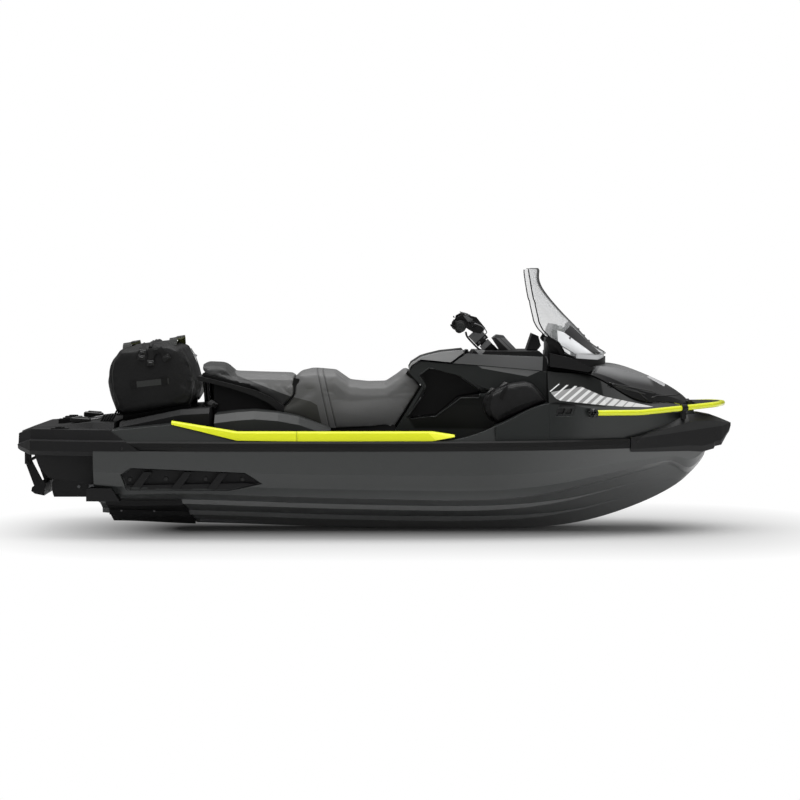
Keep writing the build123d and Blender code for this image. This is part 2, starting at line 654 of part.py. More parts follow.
def console_cap():
    """Dark top of the console with the steering column's boss and square collar."""
    body = console_body() & prism(CAP_LINE, -400, 400)
    body += rod(tuple(along_steering(-30)), tuple(along_steering(2)), COLUMN_R + 12)
    body &= prism([(380, 560), (FRONT_DECK_X, 560), (FRONT_DECK_X, 720), (380, 720)], -400, 400)
    root = -20
    body += steering_plane((root + COLLAR_TOP) / 2) * Box(58, 62, COLLAR_TOP - root)
    body += hinge_ears(GLOVEBOX_HINGE, 645)
    return body - rod(tuple(along_steering(-62)), tuple(along_steering(COLLAR_TOP + 30)),
                      COLUMN_R + RUN_FIT)


def console_panels():
    """Satin grey side panels of the console."""
    outline = [(396, 613), (549, 603), (848, 578), (852, 648), (551, 659), (466, 664)]
    outer = console_body(CONSOLE_SKIN) & prism(outline, 100, 400)
    return both_sides(outer - console_body())


def display():
    return prism([(776, CONSOLE_TOP_Z), (806, 764), (838, 750), (851, 700), (832, CONSOLE_TOP_Z)],
                 -92, 92)


def steering_cowl():
    """Fixed fairing between the steering column and the display."""
    return prism([(640, CONSOLE_TOP_Z), (600, 738), (624, 756), (660, 752), (682, 727),
                  (731, CONSOLE_TOP_Z)], -62, 62)


SEAT_TAIL_X = -892.0        # rear end of the passenger's bolster
seat_top_z = line([(SEAT_TAIL_X - 3, 612), (-795, 608), (-770, 601), (-749, 579), (-727, 562),
                   (-600, 557), (-410, 552), (-385, 574), (-306, 577), (-205, 568), (-135, 517),
                   (-42, 508), (52, 510), (114, 551), (155, 584), (240, 590)])
seat_half = curve([(SEAT_TAIL_X - 3, 172), (-600, 205), (-410, 205), (-250, 205), (0, 175), (160, 150),
                   (240, 140)])
SEAT_STATIONS = [SEAT_TAIL_X - 3, -850, -795, -770, -749, -727, -690, -600, -410, -385, -306, -205,
                 -135, -42, 52, 114, 155, 240]
REAR_SEAT = [(SEAT_TAIL_X, 640), (SEAT_TAIL_X, 580), (-868, 552), (-640, 494), (-500, 398), (-498, 366), (-420, 452),
             (-406, 640)]
FRONT_SEAT = [(-402, 640), (-415, 451), (-494, 361), (-246, 278), (50, 290), (97, 284),
              (228, 492), (122, 640)]


def seat_body(grow=0.0):
    def half(x):
        top, y = seat_top_z(x), seat_half(x) + grow
        return [(0, 230), (y + 12, 230), (y + 16, 360), (y, top - 62), (y - 22, top - 18),
                (y - 60, top), (0, top + 4)]

    return skin(SEAT_STATIONS, half, True)


def seat_front(pedestal_solid, console_solid):
    return (seat_body() & prism(FRONT_SEAT, -400, 400)) - pedestal_solid - console_solid


def seat_rear(pedestal_solid):
    return (seat_body() & prism(REAR_SEAT, -400, 400)) - pedestal_solid


COVER_TAIL_X = -809.0       # rear end of the covers beside the seat


def side_covers(pedestal_solid, stern_solid):
    top = line([(COVER_TAIL_X, 359), (-698, 373), (-610, 378), (-492, 367), (-389, 345), (-229, 286)])
    edge = line([(COVER_TAIL_X, 440), (-700, 440), (-556, 405), (-229, 262)])

    def outline(x):
        return [(120, BOND_Z), (edge(x) + 15, BOND_Z), (edge(x), top(x) - 40),
                (edge(x) - 40, top(x)), (120, top(x) + 8)]

    piece = strip([COVER_TAIL_X, FOOTWELL_AFT_X, -610, -492, -389, -229], outline, True)
    return both_sides(piece - pedestal_solid - stern_solid - seat_body(SOFT_GAP))


def grab_rail(covers_solid):
    """Passenger's hand rail round the tail of the rear seat."""
    band = [(-905, 548), (-854, 538), (-742, 511), (-607, 475), (-532, 440), (-466, 395),
            (-466, 366), (-480, 356), (-502, 376), (-547, 412), (-622, 448), (-742, 488),
            (-854, 516), (-905, 526)]
    arm = prism(band, 224, 246) - seat_body(SOFT_GAP)
    tail = block(-905, -880, -246, 246, 526, 548)
    body = arm + mirror(arm, about=Plane.XZ) + tail
    for solid in covers_solid.solids():
        body -= solid
    return body


# ---------------------------------------------------------------- stern
hatch_z = line([(-1290, 322), (-983, 385), (-836, 393)])
HATCH_SHARE = 0.664         # half breadth of the rear hatch, as a share of the craft's


def rear_hatch(stern, pedestal_solid, platform):
    def half(x):
        z = hatch_z(x)
        y = HATCH_SHARE * BEAM_HALF
        return [(0, 215), (y, 215), (y - 10, z - 26), (y - 40, z), (0, z)]

    body = skin([-1290, -1130, -983, -836], half, True)
    return body - stern - pedestal_solid - platform


PLATFORM_STATIONS = [PLATFORM_X, -1788, -1727, -1600, -1420, -1300, -1150]
platform_rise = line([(-1727, 6), (-1600, 12), (-1420, 32), (-1311, 30)])
platform_share = line([(PLATFORM_X, 0.640), (-1788, 0.669), (-1727, 0.800), (-1500, 0.936),
                       (-1300, 0.979), (-1150, 0.990)])


SOCKETS = [(-1583, 0.70 * BEAM_HALF, 303), (-1587, 0.20 * BEAM_HALF, 332)]
SOCKET_BORE_R = 12.0


def socket_blocks():
    """Port side bodies of the platform's accessory sockets."""
    return [block(x - 42, x + 42, y - 30, y + 30, top - 50, top - 6) for x, y, top in SOCKETS]


def swim_platform():
    """Stern extension: edge bumper, dished deck, skirt and the tunnel over the jet."""

    def half(x):
        y = platform_share(x) * BEAM_HALF
        drop = max(0.0, (-1727 - x)) * 0.35
        low = PLATFORM_UNDER_Z + max(0.0, (-1760 - x)) * 0.6
        ledge = BOND_Z + RAIL_HEIGHT - drop
        top = PLATFORM_TOP_Z - drop
        return [(0, low), (y - 18, low), (y, low + 22), (y, ledge - 2), (y - 32, ledge + 4),
                (y - 50, top), (y - 150, top), (y - 175, top + platform_rise(x)),
                (0, top + platform_rise(x))]

    slab = skin(PLATFORM_STATIONS, half, True) - ahead_of_platform()
    slab -= block(TRANSOM_X, 0, -BEAM_HALF - 60, BEAM_HALF + 60, 0, BOND_Z)
    skirt = 0.784 * BEAM_HALF
    under = prism([(-1705, PLATFORM_UNDER_Z + 2), (-1683, 105), (-1637, 52), (-1430, 16),
                   (TRANSOM_X, 14), (TRANSOM_X, PLATFORM_UNDER_Z + 2)], -skirt, skirt)
    tunnel = block(-1720, TRANSOM_X + 1, -TUNNEL_HALF, TUNNEL_HALF, -50,
                   GATE_PIVOT_Z + GATE_R)
    body = slab + (under - tunnel)
    hinge_x, hinge_z = LADDER_HINGE
    for y in (LADDER_HALF - 34, LADDER_HALF + 6):
        for side in (1, -1):
            low, high = sorted((side * y, side * (y + 12)))
            body += block(hinge_x - 14, hinge_x + 14, low, high, hinge_z - 14, 200)
    body -= rod((hinge_x, -260, hinge_z), (hinge_x, 260, hinge_z), LADDER_PIN_R + RUN_FIT)
    for socket in socket_blocks():
        body = body - socket - mirror(socket, about=Plane.XZ)
    return body


def boarding_ladder():
    """Folding step on two arms, turning on a pin under the platform's rear edge."""
    hinge_x, hinge_z = LADDER_HINGE
    body = rod((hinge_x, -LADDER_HALF - 24, hinge_z), (hinge_x, LADDER_HALF + 24, hinge_z),
               LADDER_PIN_R)
    arm = prism([(hinge_x - 13, hinge_z + 13), (hinge_x + 13, hinge_z + 13), (-1700, -8),
                 (-1722, -34), (-1748, -24), (hinge_x - 13, hinge_z - 8)],
                LADDER_HALF - 19, LADDER_HALF + 3)
    body += arm + mirror(arm, about=Plane.XZ)
    tread = prism([(-1762, -22), (-1766, -42), (-1748, -56), (-1700, -66), (-1692, -2),
                   (-1704, 16)], -LADDER_HALF - 3, LADDER_HALF + 3)
    for i in range(4):
        x = -1748 + 12 * i
        tread -= block(x, x + 5, -LADDER_HALF + 10, LADDER_HALF - 10, 2 - 18 + 3 * i, 40)
    return body + tread


def accessory_mounts():
    """Raised sockets, set in the platform, that take luggage and tow fittings."""
    parts = []
    for (x, y, top), body in zip(SOCKETS, socket_blocks()):
        collar = rod((x, y, top - 10), (x, y, top), 24)
        bore = rod((x, y, top - 25), (x, y, top + 1), SOCKET_BORE_R)
        parts.append(body + collar - bore)
    return both_sides(Compound([s for p in parts for s in p.solids()]))


BAG_LINE = [(-1348, 523), (-1338, 634), (-1304, 690), (-1140, 716), (-1039, 724), (-985, 700),
            (-928, 533), (-912, 457), (-939, 418), (-1292, 373), (-1316, 395)]
BAG_HALF = 345.0


def bag_section(y, scale, lift):
    cx, cz = -1128.0, 545.0
    points = [(cx + (x - cx) * scale, y, cz + (z - cz) * scale + lift) for x, z in BAG_LINE]
    return Wire.make_polygon(points, close=True)


def cargo_bag():
    """Roll-top dry bag lying across the stern."""
    sections = [bag_section(-BAG_HALF, 0.90, 0), bag_section(-BAG_HALF + 45, 1.0, 0),
                bag_section(BAG_HALF - 45, 1.0, 0), bag_section(BAG_HALF, 0.90, 0)]
    return Solid.make_loft(sections, True)


def bag_rails(hatch):
    """Two black rails that hold the dry bag on the rear hatch."""
    rail = prism([(-1290, 300), (-1288, 380), (-945, 422), (-945, 370)], 190, 240)
    rail = rail - hatch - cargo_bag_seat()
    return both_sides(Compound([max(rail.solids(), key=lambda s: s.volume)]))


def cargo_bag_seat():
    """Space kept for the bag, a little larger than it."""
    return Pos(0, 0, -SOFT_GAP) * cargo_bag()


# ---------------------------------------------------------------- bow
def bow_bumper(solids):
    side_top = line([(1290, 243), (1336, 250), (1640, 322), (1770, 312), (BUMPER_X, 300)])
    ridge = line([(1290, 244), (1336, 254), (1600, 350), (1710, 350), (1790, 322),
                  (BUMPER_X, 303)])
    low = line([(1286, 171), (1640, 164), (1680, 158), (1740, 172), (1746, 184), (1782, 190),
                (1812, 238), (1828, 258), (BUMPER_X, 284)])
    out = breadth([(1290, 0.608), (1400, 0.531), (1560, 0.390), (1660, 0.298), (1720, 0.243),
                   (1782, 0.184), (BUMPER_X, 0.104)])

    def half(x):
        y = out(x)
        lip = 0.2 * (side_top(x) - low(x))
        return [(0, low(x)), (y - 10, low(x)), (y, low(x) + lip), (y, side_top(x)),
                (y * 0.80, ridge(x)), (0, ridge(x))]

    stations = [1290, 1336, 1430, 1530, 1600, 1680, 1740, 1746, 1782, 1812, 1828, BUMPER_X]
    body = skin(stations, half, True)
    for solid in solids:
        body -= solid
    return Compound([max(body.solids(), key=lambda s: s.volume)])


def bow_tube_path():
    side = [(1100, 0.723, 372), (1340, 0.595, 370), (1580, 0.400, 388), (1750, 0.230, 400)]
    side = [(x, share * BEAM_HALF, z) for x, share, z in side]
    points = side + [(1803, 0, 402)] + [(x, -y, z) for x, y, z in reversed(side)]
    return FilletPolyline(*points, radius=[220, 220, 160, 70, 160, 220, 220])


def bow_rail():
    """Bright guard tube round the bow."""
    path = bow_tube_path()
    section = Plane(origin=path @ 0, z_dir=path % 0) * Circle(BOW_TUBE_R)
    return sweep(section, path=path)


def bow_rail_mounts(solids, tube_solid):
    """End sockets and clamp brackets of the guard tube."""
    cap_y, clamp_y = 0.727 * BEAM_HALF, 0.409 * BEAM_HALF
    cap = rod((1076, cap_y + 6, 372), (1112, cap_y - 6, 372), BOW_TUBE_R + 6)
    cap += block(1080, 1106, cap_y - 54, cap_y - 4, 362, 382)
    clamp = rod((1556, clamp_y + 8, 386), (1584, clamp_y - 8, 388), BOW_TUBE_R + 5)
    clamp += block(1560, 1582, clamp_y - 106, clamp_y, 330, 380)
    shape = cap + clamp
    for solid in solids:
        shape -= solid
    shape -= tube_solid
    keep = sorted(shape.solids(), key=lambda s: -s.volume)[:2]
    return both_sides(Compound(keep))


def bow_tray(tube_solid):
    """Flat black tray between the arms of the guard tube."""
    side = [(FRONT_DECK_END_X + 3, 0.328), (1745, 0.210), (1784, 0.080)]
    side = [(x, share * BEAM_HALF) for x, share in side]
    corners = side + [(x, -y) for x, y in reversed(side)]
    plate = Face(Wire.make_polygon([(x, y, 394 + 0.04 * (x - 1600)) for x, y in corners]))
    body = extrude(plate, amount=12, dir=(0, 0, 1))
    return body - tube_solid


# ---------------------------------------------------------------- front lid
hood_top_z = curve([(FRONT_DECK_X, 640), (1096, 604), (1163, 609), (1267, 598), (1371, 562),
                    (1475, 515), (1548, 473), (1611, 424)])
hood_y = breadth([(FRONT_DECK_X, 0.419), (1089, 0.456), (1243, 0.429), (1346, 0.381),
                  (1496, 0.264), (1611, 0.112)])


def hood(deck_solid):
    """Front storage lid, dished underneath and hinged at the bow."""

    def half(x):
        low, top, y = panel_z(x) + LID_GAP, hood_top_z(x), hood_y(x)
        rise = max(top - low, 12)
        return [(0, low), (y, low), (y - 12, low + 0.35 * rise), (y * 0.62, low + 0.86 * rise),
                (y * 0.22, low + rise), (0, low + rise)]

    stations = [FRONT_DECK_X + LID_GAP, 1000, 1096, 1163, 1267, 1371, 1475, 1548, 1606]
    body = skin(stations, half) - Pos(0, 0, LID_GAP) * deck_solid
    return body + hinge_knuckle(FRONT_LID_HINGE, 1590) - hinge_way(FRONT_LID_HINGE)


def windshield_base(hood_solid):
    """Black frame between the hood and the windshield, bowed like the glass."""
    side = prism([(882, 600), (880, 742), (940, 690), (1019, 640), (1140, 628), (1192, 645),
                  (1192, 600), (1100, 590)], -225, 225)
    front = ThreePointArc((1012, -225, 600), (1190, 0, 600), (1012, 225, 600))
    back = Polyline(front @ 1, (882, 205, 600), (882, -205, 600), front @ 0)
    plan = extrude(Pos(0, 0, -20) * make_face([front, back]), amount=180, dir=(0, 0, 1))
    return (side & plan) - hood_solid


def arc_section(z, x_centre, x_side, y_side):
    """Bowed strip of glass at one height."""
    t = GLASS_THICKNESS
    outer = ThreePointArc((x_side, -y_side, z), (x_centre, 0, z), (x_side, y_side, z))
    inner = ThreePointArc((x_side - t, y_side, z), (x_centre - t, 0, z), (x_side - t, -y_side, z))
    ends = [Line(outer @ 1, inner @ 0), Line(inner @ 1, outer @ 0)]
    return Wire([outer, ends[0], inner, ends[1]])


GLASS = [(654, 1180, 1030, 215), (703, 1130, 950, 240), (759, 1073, 880, 252),
         (810, 1026, 838, 258), (880, 958, 822, 262), (937, 908, 808, 264),
         (1000, 862, 794, 262), (1049, 845, 786, 252), (1098, 836, 806, 190)]


def windshield(base_solid):
    glass = Solid.make_loft([arc_section(*row) for row in GLASS], False)
    return glass - base_solid


def windshield_bracket(glass_solid, base_solid):
    plate = prism([(1182, 640), (1000, 824), (980, 806), (1140, 640)], -48, 48)
    return plate - glass_solid - base_solid


def mirror_pods(hood_solid, base_solid):
    """Fairings each side of the lid that carry the rear-view mirrors."""
    piece = prism([(884, 668), (884, 600), (960, 590), (1080, 572), (1110, 590), (1000, 640)],
                  215, 318)
    return both_sides(piece - hood_solid - base_solid)


# ---------------------------------------------------------------- steering
def steering_riser():
    height = 72
    body = steering_plane(RISER_START + height / 2) * Box(72, 76, height)
    return body + rod(tuple(along_steering(-60)), tuple(along_steering(RISER_START + 4)), COLUMN_R)


def handlebar():
    side = [(505, 70, 806), (440, 215, 820), (424, GRIP_END_Y - 8, 796)]
    points = [(x, -y, z) for x, y, z in reversed(side)] + side
    path = FilletPolyline(*points, radius=[60, 30, 30, 60])
    section = Plane(origin=path @ 0, z_dir=path % 0) * Circle(BAR_R)
    return sweep(section, path=path)


def grips(bar):
    a, b = Vector(440, 215, 820), Vector(424, GRIP_END_Y - 8, 796)
    along = (b - a).normalized()
    end = b + along * 10
    start = end - along * GRIP_LENGTH
    piece = rod(tuple(start), tuple(end), GRIP_R) + rod(tuple(end), tuple(end + along * 12), GRIP_R + 4)
    return both_sides(piece - bar)


def handlebar_pad(bar, riser):
    body = prism([(450, 800), (478, 856), (520, 846), (566, 790), (540, 762), (500, 770)], -68, 68)
    return body - bar - riser


PODS_Y = 231.0


def control_pods(bar):
    """Switch and lever housings inboard of the grips."""
    piece = prism([(410, 812), (420, 852), (446, 866), (478, 852), (500, 838), (496, 806),
                   (468, 796), (430, 798)], PODS_Y, PODS_Y + 44)
    return both_sides(piece - bar)


def levers(pods):
    piece = prism([(484, 832), (500, 828), (496, 808), (482, 812)], PODS_Y + 44, 374)
    return both_sides(piece - pods)


# ---------------------------------------------------------------- saddle bags
SADDLE = [(541, 416), (557, 457), (607, 487), (657, 512), (757, 528), (795, 516), (866, 432),
          (608, 311), (549, 366)]


def saddle_bags(solids):
    """Cases that lie on the fenders, against the console."""
    cx, cz = 690, 430
    face = [(cx + 0.92 * (x - cx), cz + 0.90 * (z - cz)) for x, z in SADDLE]
    piece = prism(SADDLE, 255, 404) + prism(face, 400, 432)
    for solid in solids:
        piece -= Pos(0, SOFT_GAP, SOFT_GAP) * solid
    return both_sides(Compound([max(piece.solids(), key=lambda s: s.volume)]))


# ---------------------------------------------------------------- build and write
stern = stern_deck()
pedestal_solid = pedestal(stern)
console_solid = console()
covers = side_covers(pedestal_solid, stern)
sides = gunwales()
fender_pair = fenders(console_body() & prism(CONSOLE, -400, 400))
front_outer = front_deck_outer()
front = front_deck(front_outer)
platform = swim_platform()
bar = handlebar()
riser = steering_riser()
hood_solid = hood(front_outer)
base_solid = windshield_base(hood_solid)
glass_solid = windshield(base_solid)
tube_solid = bow_rail()
hatch = rear_hatch(stern, pedestal_solid, platform)
bumper = bow_bumper([hull_outer, front])
pods = control_pods(bar)

nodes = {
    "hull": hull(),
    "engine": engine(),
    "jet_pump": jet_pump(),
    "impeller": impeller(),
    "steering_nozzle": steering_nozzle(),
    "reverse_gate": reverse_gate(),
    "ride_plate": ride_plate(),
    "intake_grate": intake_grate(),
    "transom_corners": transom_corners(),
    "sponsons": sponsons(),
    "stern_deck": stern,
    "gunwales": sides,
    "fenders": fender_pair,
    "front_deck": front,
    "pedestal": pedestal_solid,
    "console": console_solid,
    "console_cap": console_cap(),
    "console_panels": console_panels(),
    "glovebox_lid": glovebox_lid(),
    "display": display(),
    "steering_cowl": steering_cowl(),
    "footwell_mats": footwell_mats(console_solid, pedestal_solid, covers),
    "rub_rails": rub_rails([stern, sides, fender_pair, front, bumper, platform]),
    "footwell_trims": footwell_trims([stern, sides]),
    "seat_front": seat_front(pedestal_solid, console_solid),
    "seat_rear": seat_rear(pedestal_solid),
    "side_covers": covers,
    "grab_rail": grab_rail(covers),
    "rear_hatch": hatch,
    "swim_platform": platform,
    "boarding_ladder": boarding_ladder(),
    "accessory_mounts": accessory_mounts(),
    "cargo_bag": cargo_bag(),
    "bag_rails": bag_rails(hatch),
    "bow_bumper": bumper,
    "bow_rail": tube_solid,
    "bow_rail_mounts": bow_rail_mounts([front, bumper], tube_solid),
    "bow_tray": bow_tray(tube_solid),
    "hood": hood_solid,
    "windshield_base": base_solid,
    "windshield": glass_solid,
    "windshield_bracket": windshield_bracket(glass_solid, base_solid),
    "mirror_pods": mirror_pods(hood_solid, base_solid),
    "steering_riser": riser,
    "handlebar": bar,
    "grips": grips(bar),
    "handlebar_pad": handlebar_pad(bar, riser),
    "control_pods": pods,
    "levers": levers(pods),
    "saddle_bags": saddle_bags([console_solid, fender_pair]),
}

os.makedirs("parts", exist_ok=True)
for name, shape in nodes.items():
    export_step(shape, f"parts/{name}.step")
    print(name, len(shape.solids()), "solids", round(shape.volume / 1e3), "cm3")
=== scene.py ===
# %% [markdown]
# This script dresses a personal watercraft. The hard pieces, their sizes and their joints come from
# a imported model; Blender adds what a maker would add last: finishes, cushions, soft luggage, edge
# rounding, seams and screws. Lengths are in metres, +X points to the bow and +Z up.

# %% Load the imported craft
import math

import bmesh
import bpy
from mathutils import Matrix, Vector, noise
from mathutils.bvhtree import BVHTree
from mathutils.geometry import delaunay_2d_cdt


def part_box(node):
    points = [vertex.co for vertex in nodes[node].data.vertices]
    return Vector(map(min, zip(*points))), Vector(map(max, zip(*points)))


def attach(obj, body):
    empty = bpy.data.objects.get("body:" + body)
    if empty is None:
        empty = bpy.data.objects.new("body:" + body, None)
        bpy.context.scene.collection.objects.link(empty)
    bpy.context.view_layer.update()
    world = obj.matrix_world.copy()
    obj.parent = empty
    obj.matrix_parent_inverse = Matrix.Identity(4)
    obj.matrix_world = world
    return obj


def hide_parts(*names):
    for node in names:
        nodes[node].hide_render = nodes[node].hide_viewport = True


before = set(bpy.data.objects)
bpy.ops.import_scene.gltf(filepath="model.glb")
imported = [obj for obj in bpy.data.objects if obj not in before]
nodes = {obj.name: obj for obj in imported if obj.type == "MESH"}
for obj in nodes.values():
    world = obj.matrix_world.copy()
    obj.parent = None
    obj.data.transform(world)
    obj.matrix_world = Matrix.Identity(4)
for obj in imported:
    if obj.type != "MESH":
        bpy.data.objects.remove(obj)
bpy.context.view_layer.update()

# %% [markdown]
# Every finish is a small group of nodes round one Principled shader. Moulded plastic is never one flat
# value: it has a fine grain that breaks up the highlight and a slow drift in tone. The coordinates are
# the piece's own, so the pattern stays put when a joint moves. Values that are the same all over go
# straight on the shader's sockets.

# %% Node helpers
def node(mat, kind, **values):
    """A new shader node; values are input sockets by name, or settings of the node."""
    made = mat.node_tree.nodes.new(kind)
    for key, value in values.items():
        if key in made.inputs:
            made.inputs[key].default_value = value
        else:
            setattr(made, key, value)
    return made


def link(mat, out, into):
    mat.node_tree.links.new(out, into)


def maths(mat, operation, a, b=0.0):
    """One step of arithmetic on sockets or numbers."""
    made = node(mat, "ShaderNodeMath", operation=operation)
    for socket, value in zip(made.inputs, (a, b)):
        if isinstance(value, (int, float)):
            socket.default_value = value
        else:
            link(mat, value, socket)
    return made.outputs[0]


def place(mat):
    """Coordinates that stay with the piece."""
    return node(mat, "ShaderNodeTexCoord").outputs["Object"]


def shader_of(mat):
    return mat.node_tree.nodes["Principled BSDF"]


print("node helpers ready")

# %% [markdown]
# A CAD solid has perfectly sharp edges, and nothing moulded does. The Bevel node rounds the normal near
# an edge, so every crease catches a thin light and no mesh has to change. Grain and other relief are
# chained after it, each bump taking the normal that was there before.

# %% Finish helpers
def finish(name, colour, roughness, specular=0.3, metallic=0.0, coat=0.0, edge=0.0025):
    """A new material with its plain values set and its edges rounded."""
    mat = bpy.data.materials.new(name)
    mat.use_nodes = True
    shader = shader_of(mat)
    shader.inputs["Base Color"].default_value = (*colour, 1)
    shader.inputs["Roughness"].default_value = roughness
    shader.inputs["Specular IOR Level"].default_value = specular
    shader.inputs["Metallic"].default_value = metallic
    shader.inputs["Coat Weight"].default_value = coat
    shader.inputs["Coat Roughness"].default_value = 0.12
    if edge:
        bevel = node(mat, "ShaderNodeBevel", samples=4, Radius=edge)
        link(mat, bevel.outputs["Normal"], shader.inputs["Normal"])
    return mat


def relief(mat, height, strength, distance):
    """Adds a bump to whatever already shapes the normal."""
    normal = shader_of(mat).inputs["Normal"]
    bump = node(mat, "ShaderNodeBump", Strength=strength, Distance=distance)
    if normal.is_linked:
        link(mat, normal.links[0].from_socket, bump.inputs["Normal"])
    link(mat, height, bump.inputs["Height"])
    link(mat, bump.outputs["Normal"], normal)


def grain(mat, scale, strength, distance=0.0004):
    texture = node(mat, "ShaderNodeTexNoise", Scale=scale, Detail=2.0)
    link(mat, place(mat), texture.inputs["Vector"])
    relief(mat, texture.outputs["Fac"], strength, distance)


def drift(mat, colour, spread=0.12, scale=2.5):
    """Slow change of tone over the piece."""
    texture = node(mat, "ShaderNodeTexNoise", Scale=scale, Detail=3.0)
    link(mat, place(mat), texture.inputs["Vector"])
    ramp = node(mat, "ShaderNodeValToRGB")
    low, high = ramp.color_ramp.elements
    low.position, high.position = 0.3, 0.7
    low.color = (*[c * (1 - spread) for c in colour], 1)
    high.color = (*[c * (1 + spread) for c in colour], 1)
    link(mat, texture.outputs["Fac"], ramp.inputs["Fac"])
    link(mat, ramp.outputs["Color"], shader_of(mat).inputs["Base Color"])


def wear(mat, scale, low, high):
    """Roughness that varies a little, as handling leaves it."""
    texture = node(mat, "ShaderNodeTexNoise", Scale=scale, Detail=4.0)
    link(mat, place(mat), texture.inputs["Vector"])
    span = node(mat, "ShaderNodeMapRange")
    span.inputs["To Min"].default_value = low
    span.inputs["To Max"].default_value = high
    link(mat, texture.outputs["Fac"], span.inputs["Value"])
    link(mat, span.outputs["Result"], shader_of(mat).inputs["Roughness"])


def plastic(name, colour, roughness, specular, scale=900, strength=0.25, spread=0.1, edge=0.0025):
    mat = finish(name, colour, roughness, specular, edge=edge)
    drift(mat, colour, spread)
    grain(mat, scale, strength)
    return mat


print("finish helpers ready")

# %% [markdown]
# Colour breaks that are moulded or printed on a piece are drawn in the shader, as the space inside a
# convex outline in side view. Each edge of the outline is one dot product, and the smallest distance
# over all edges says how far inside a point is. Both sides of the craft get the same pattern.

# %% Colour breaks in side view
def depth_inside(mat, outline, closed=True):
    """Distance inside a convex (x, z) outline that runs anticlockwise, negative outside it."""
    where = place(mat)
    ends = list(zip(outline, outline[1:] + outline[:1]))
    least = None
    for (x0, z0), (x1, z1) in ends if closed else ends[:-1]:
        length = math.hypot(x1 - x0, z1 - z0)
        inward = (-(z1 - z0) / length, 0.0, (x1 - x0) / length)
        dot = node(mat, "ShaderNodeVectorMath", operation="DOT_PRODUCT")
        link(mat, where, dot.inputs[0])
        dot.inputs[1].default_value = inward
        side = maths(mat, "SUBTRACT", dot.outputs["Value"], inward[0] * x0 + inward[2] * z0)
        least = side if least is None else maths(mat, "MINIMUM", least, side)
    return least


def crisp(mat, distance, edge=0.0006):
    """0 outside and 1 inside, with an edge just wide enough to look printed."""
    step = node(mat, "ShaderNodeMath", operation="MULTIPLY_ADD", use_clamp=True)
    link(mat, distance, step.inputs[0])
    step.inputs[1].default_value = 1 / edge
    step.inputs[2].default_value = 0.5
    return step.outputs[0]


def paint(mat, mask, colour, socket="Base Color"):
    """Lays a colour, or a value, over what the socket had, where the mask is 1."""
    target = shader_of(mat).inputs[socket]
    kind = "RGBA" if socket == "Base Color" else "FLOAT"
    mix = node(mat, "ShaderNodeMix", data_type=kind)
    a, b = [s for s in mix.inputs if s.enabled and s.name in "AB"]
    if target.is_linked:
        link(mat, target.links[0].from_socket, a)
    else:
        a.default_value = target.default_value
    b.default_value = (*colour, 1) if kind == "RGBA" else colour
    link(mat, mask, mix.inputs["Factor"])
    link(mat, [s for s in mix.outputs if s.enabled][0], target)


def patch(mat, depth, colour, edge=0.0006, others=()):
    """Paints the places where depth is above zero; others are more (socket, value) pairs."""
    mask = crisp(mat, depth, edge)
    paint(mat, mask, colour)
    for socket, value in others:
        paint(mat, mask, value, socket)


def union(mat, outlines):
    """Distance inside whichever of several outlines holds the point best."""
    most = None
    for outline in outlines:
        inside = depth_inside(mat, outline)
        most = inside if most is None else maths(mat, "MAXIMUM", most, inside)
    return most


print("colour break helpers ready")

# %% [markdown]
# The hull and deck are moulded in a dark charcoal with a little metallic flake under a clear coat. Flake
# is a Voronoi texture so fine that only its sparkle shows, mixed into the base colour.

# %% Hull gelcoat
def flake_finish(name, colour, roughness, coat, edge):
    mat = finish(name, colour, roughness, 0.4, 0.15, coat, edge)
    drift(mat, colour, 0.06, 1.6)
    base = shader_of(mat).inputs["Base Color"]
    cells = node(mat, "ShaderNodeTexVoronoi", Scale=1400.0)
    link(mat, place(mat), cells.inputs["Vector"])
    mix = node(mat, "ShaderNodeMix", data_type="RGBA", blend_type="OVERLAY")
    mix.inputs["Factor"].default_value = 0.10
    link(mat, base.links[0].from_socket, mix.inputs["A"])
    link(mat, cells.outputs["Color"], mix.inputs["B"])
    link(mat, mix.outputs["Result"], base)
    wear(mat, 6.0, roughness - 0.05, roughness + 0.06)
    return mat


CHARCOAL = (0.0135, 0.0152, 0.0148)
gelcoat = flake_finish("charcoal_gelcoat", CHARCOAL, 0.36, 0.10, 0.004)
print("gelcoat", CHARCOAL)

# %% [markdown]
# Painted light: the hull's charcoal is painted softly paler below the chine and towards the bow, where the
# bottom turns up to the light. A smooth ramp along each of the two axes is enough, laid over the base colour.

# %% Painted light on the bottom of the hull
BOTTOM_LIGHT_PAINT = (0.062, 0.064, 0.064)
PALER_DOWN = (0.02, -0.10)      # height where the bottom grey starts, and where it is full
PALER_AHEAD = (0.5, 1.5)        # distance ahead where it starts, and where it is full
hull_gelcoat = flake_finish("hull_gelcoat", CHARCOAL, 0.42, 0.25, 0.005)
hull_point = node(hull_gelcoat, "ShaderNodeSeparateXYZ")
link(hull_gelcoat, place(hull_gelcoat), hull_point.inputs[0])
# Painted light: each ramp paints the paler grey over the charcoal.
for axis, (start, end) in (("Z", PALER_DOWN), ("X", PALER_AHEAD)):
    blend = node(hull_gelcoat, "ShaderNodeMapRange", interpolation_type="SMOOTHSTEP")
    blend.inputs["From Min"].default_value = start
    blend.inputs["From Max"].default_value = end
    link(hull_gelcoat, hull_point.outputs[axis], blend.inputs["Value"])
    paint(hull_gelcoat, blend.outputs["Result"], BOTTOM_LIGHT_PAINT)
print("bottom", BOTTOM_LIGHT_PAINT)

# %% [markdown]
# Black mouldings come in two grades: a matte grained one for trays, rails and the platform, and a
# smoother one for covers. The side covers are slate, and the rub rail is rubber and hardly shines.

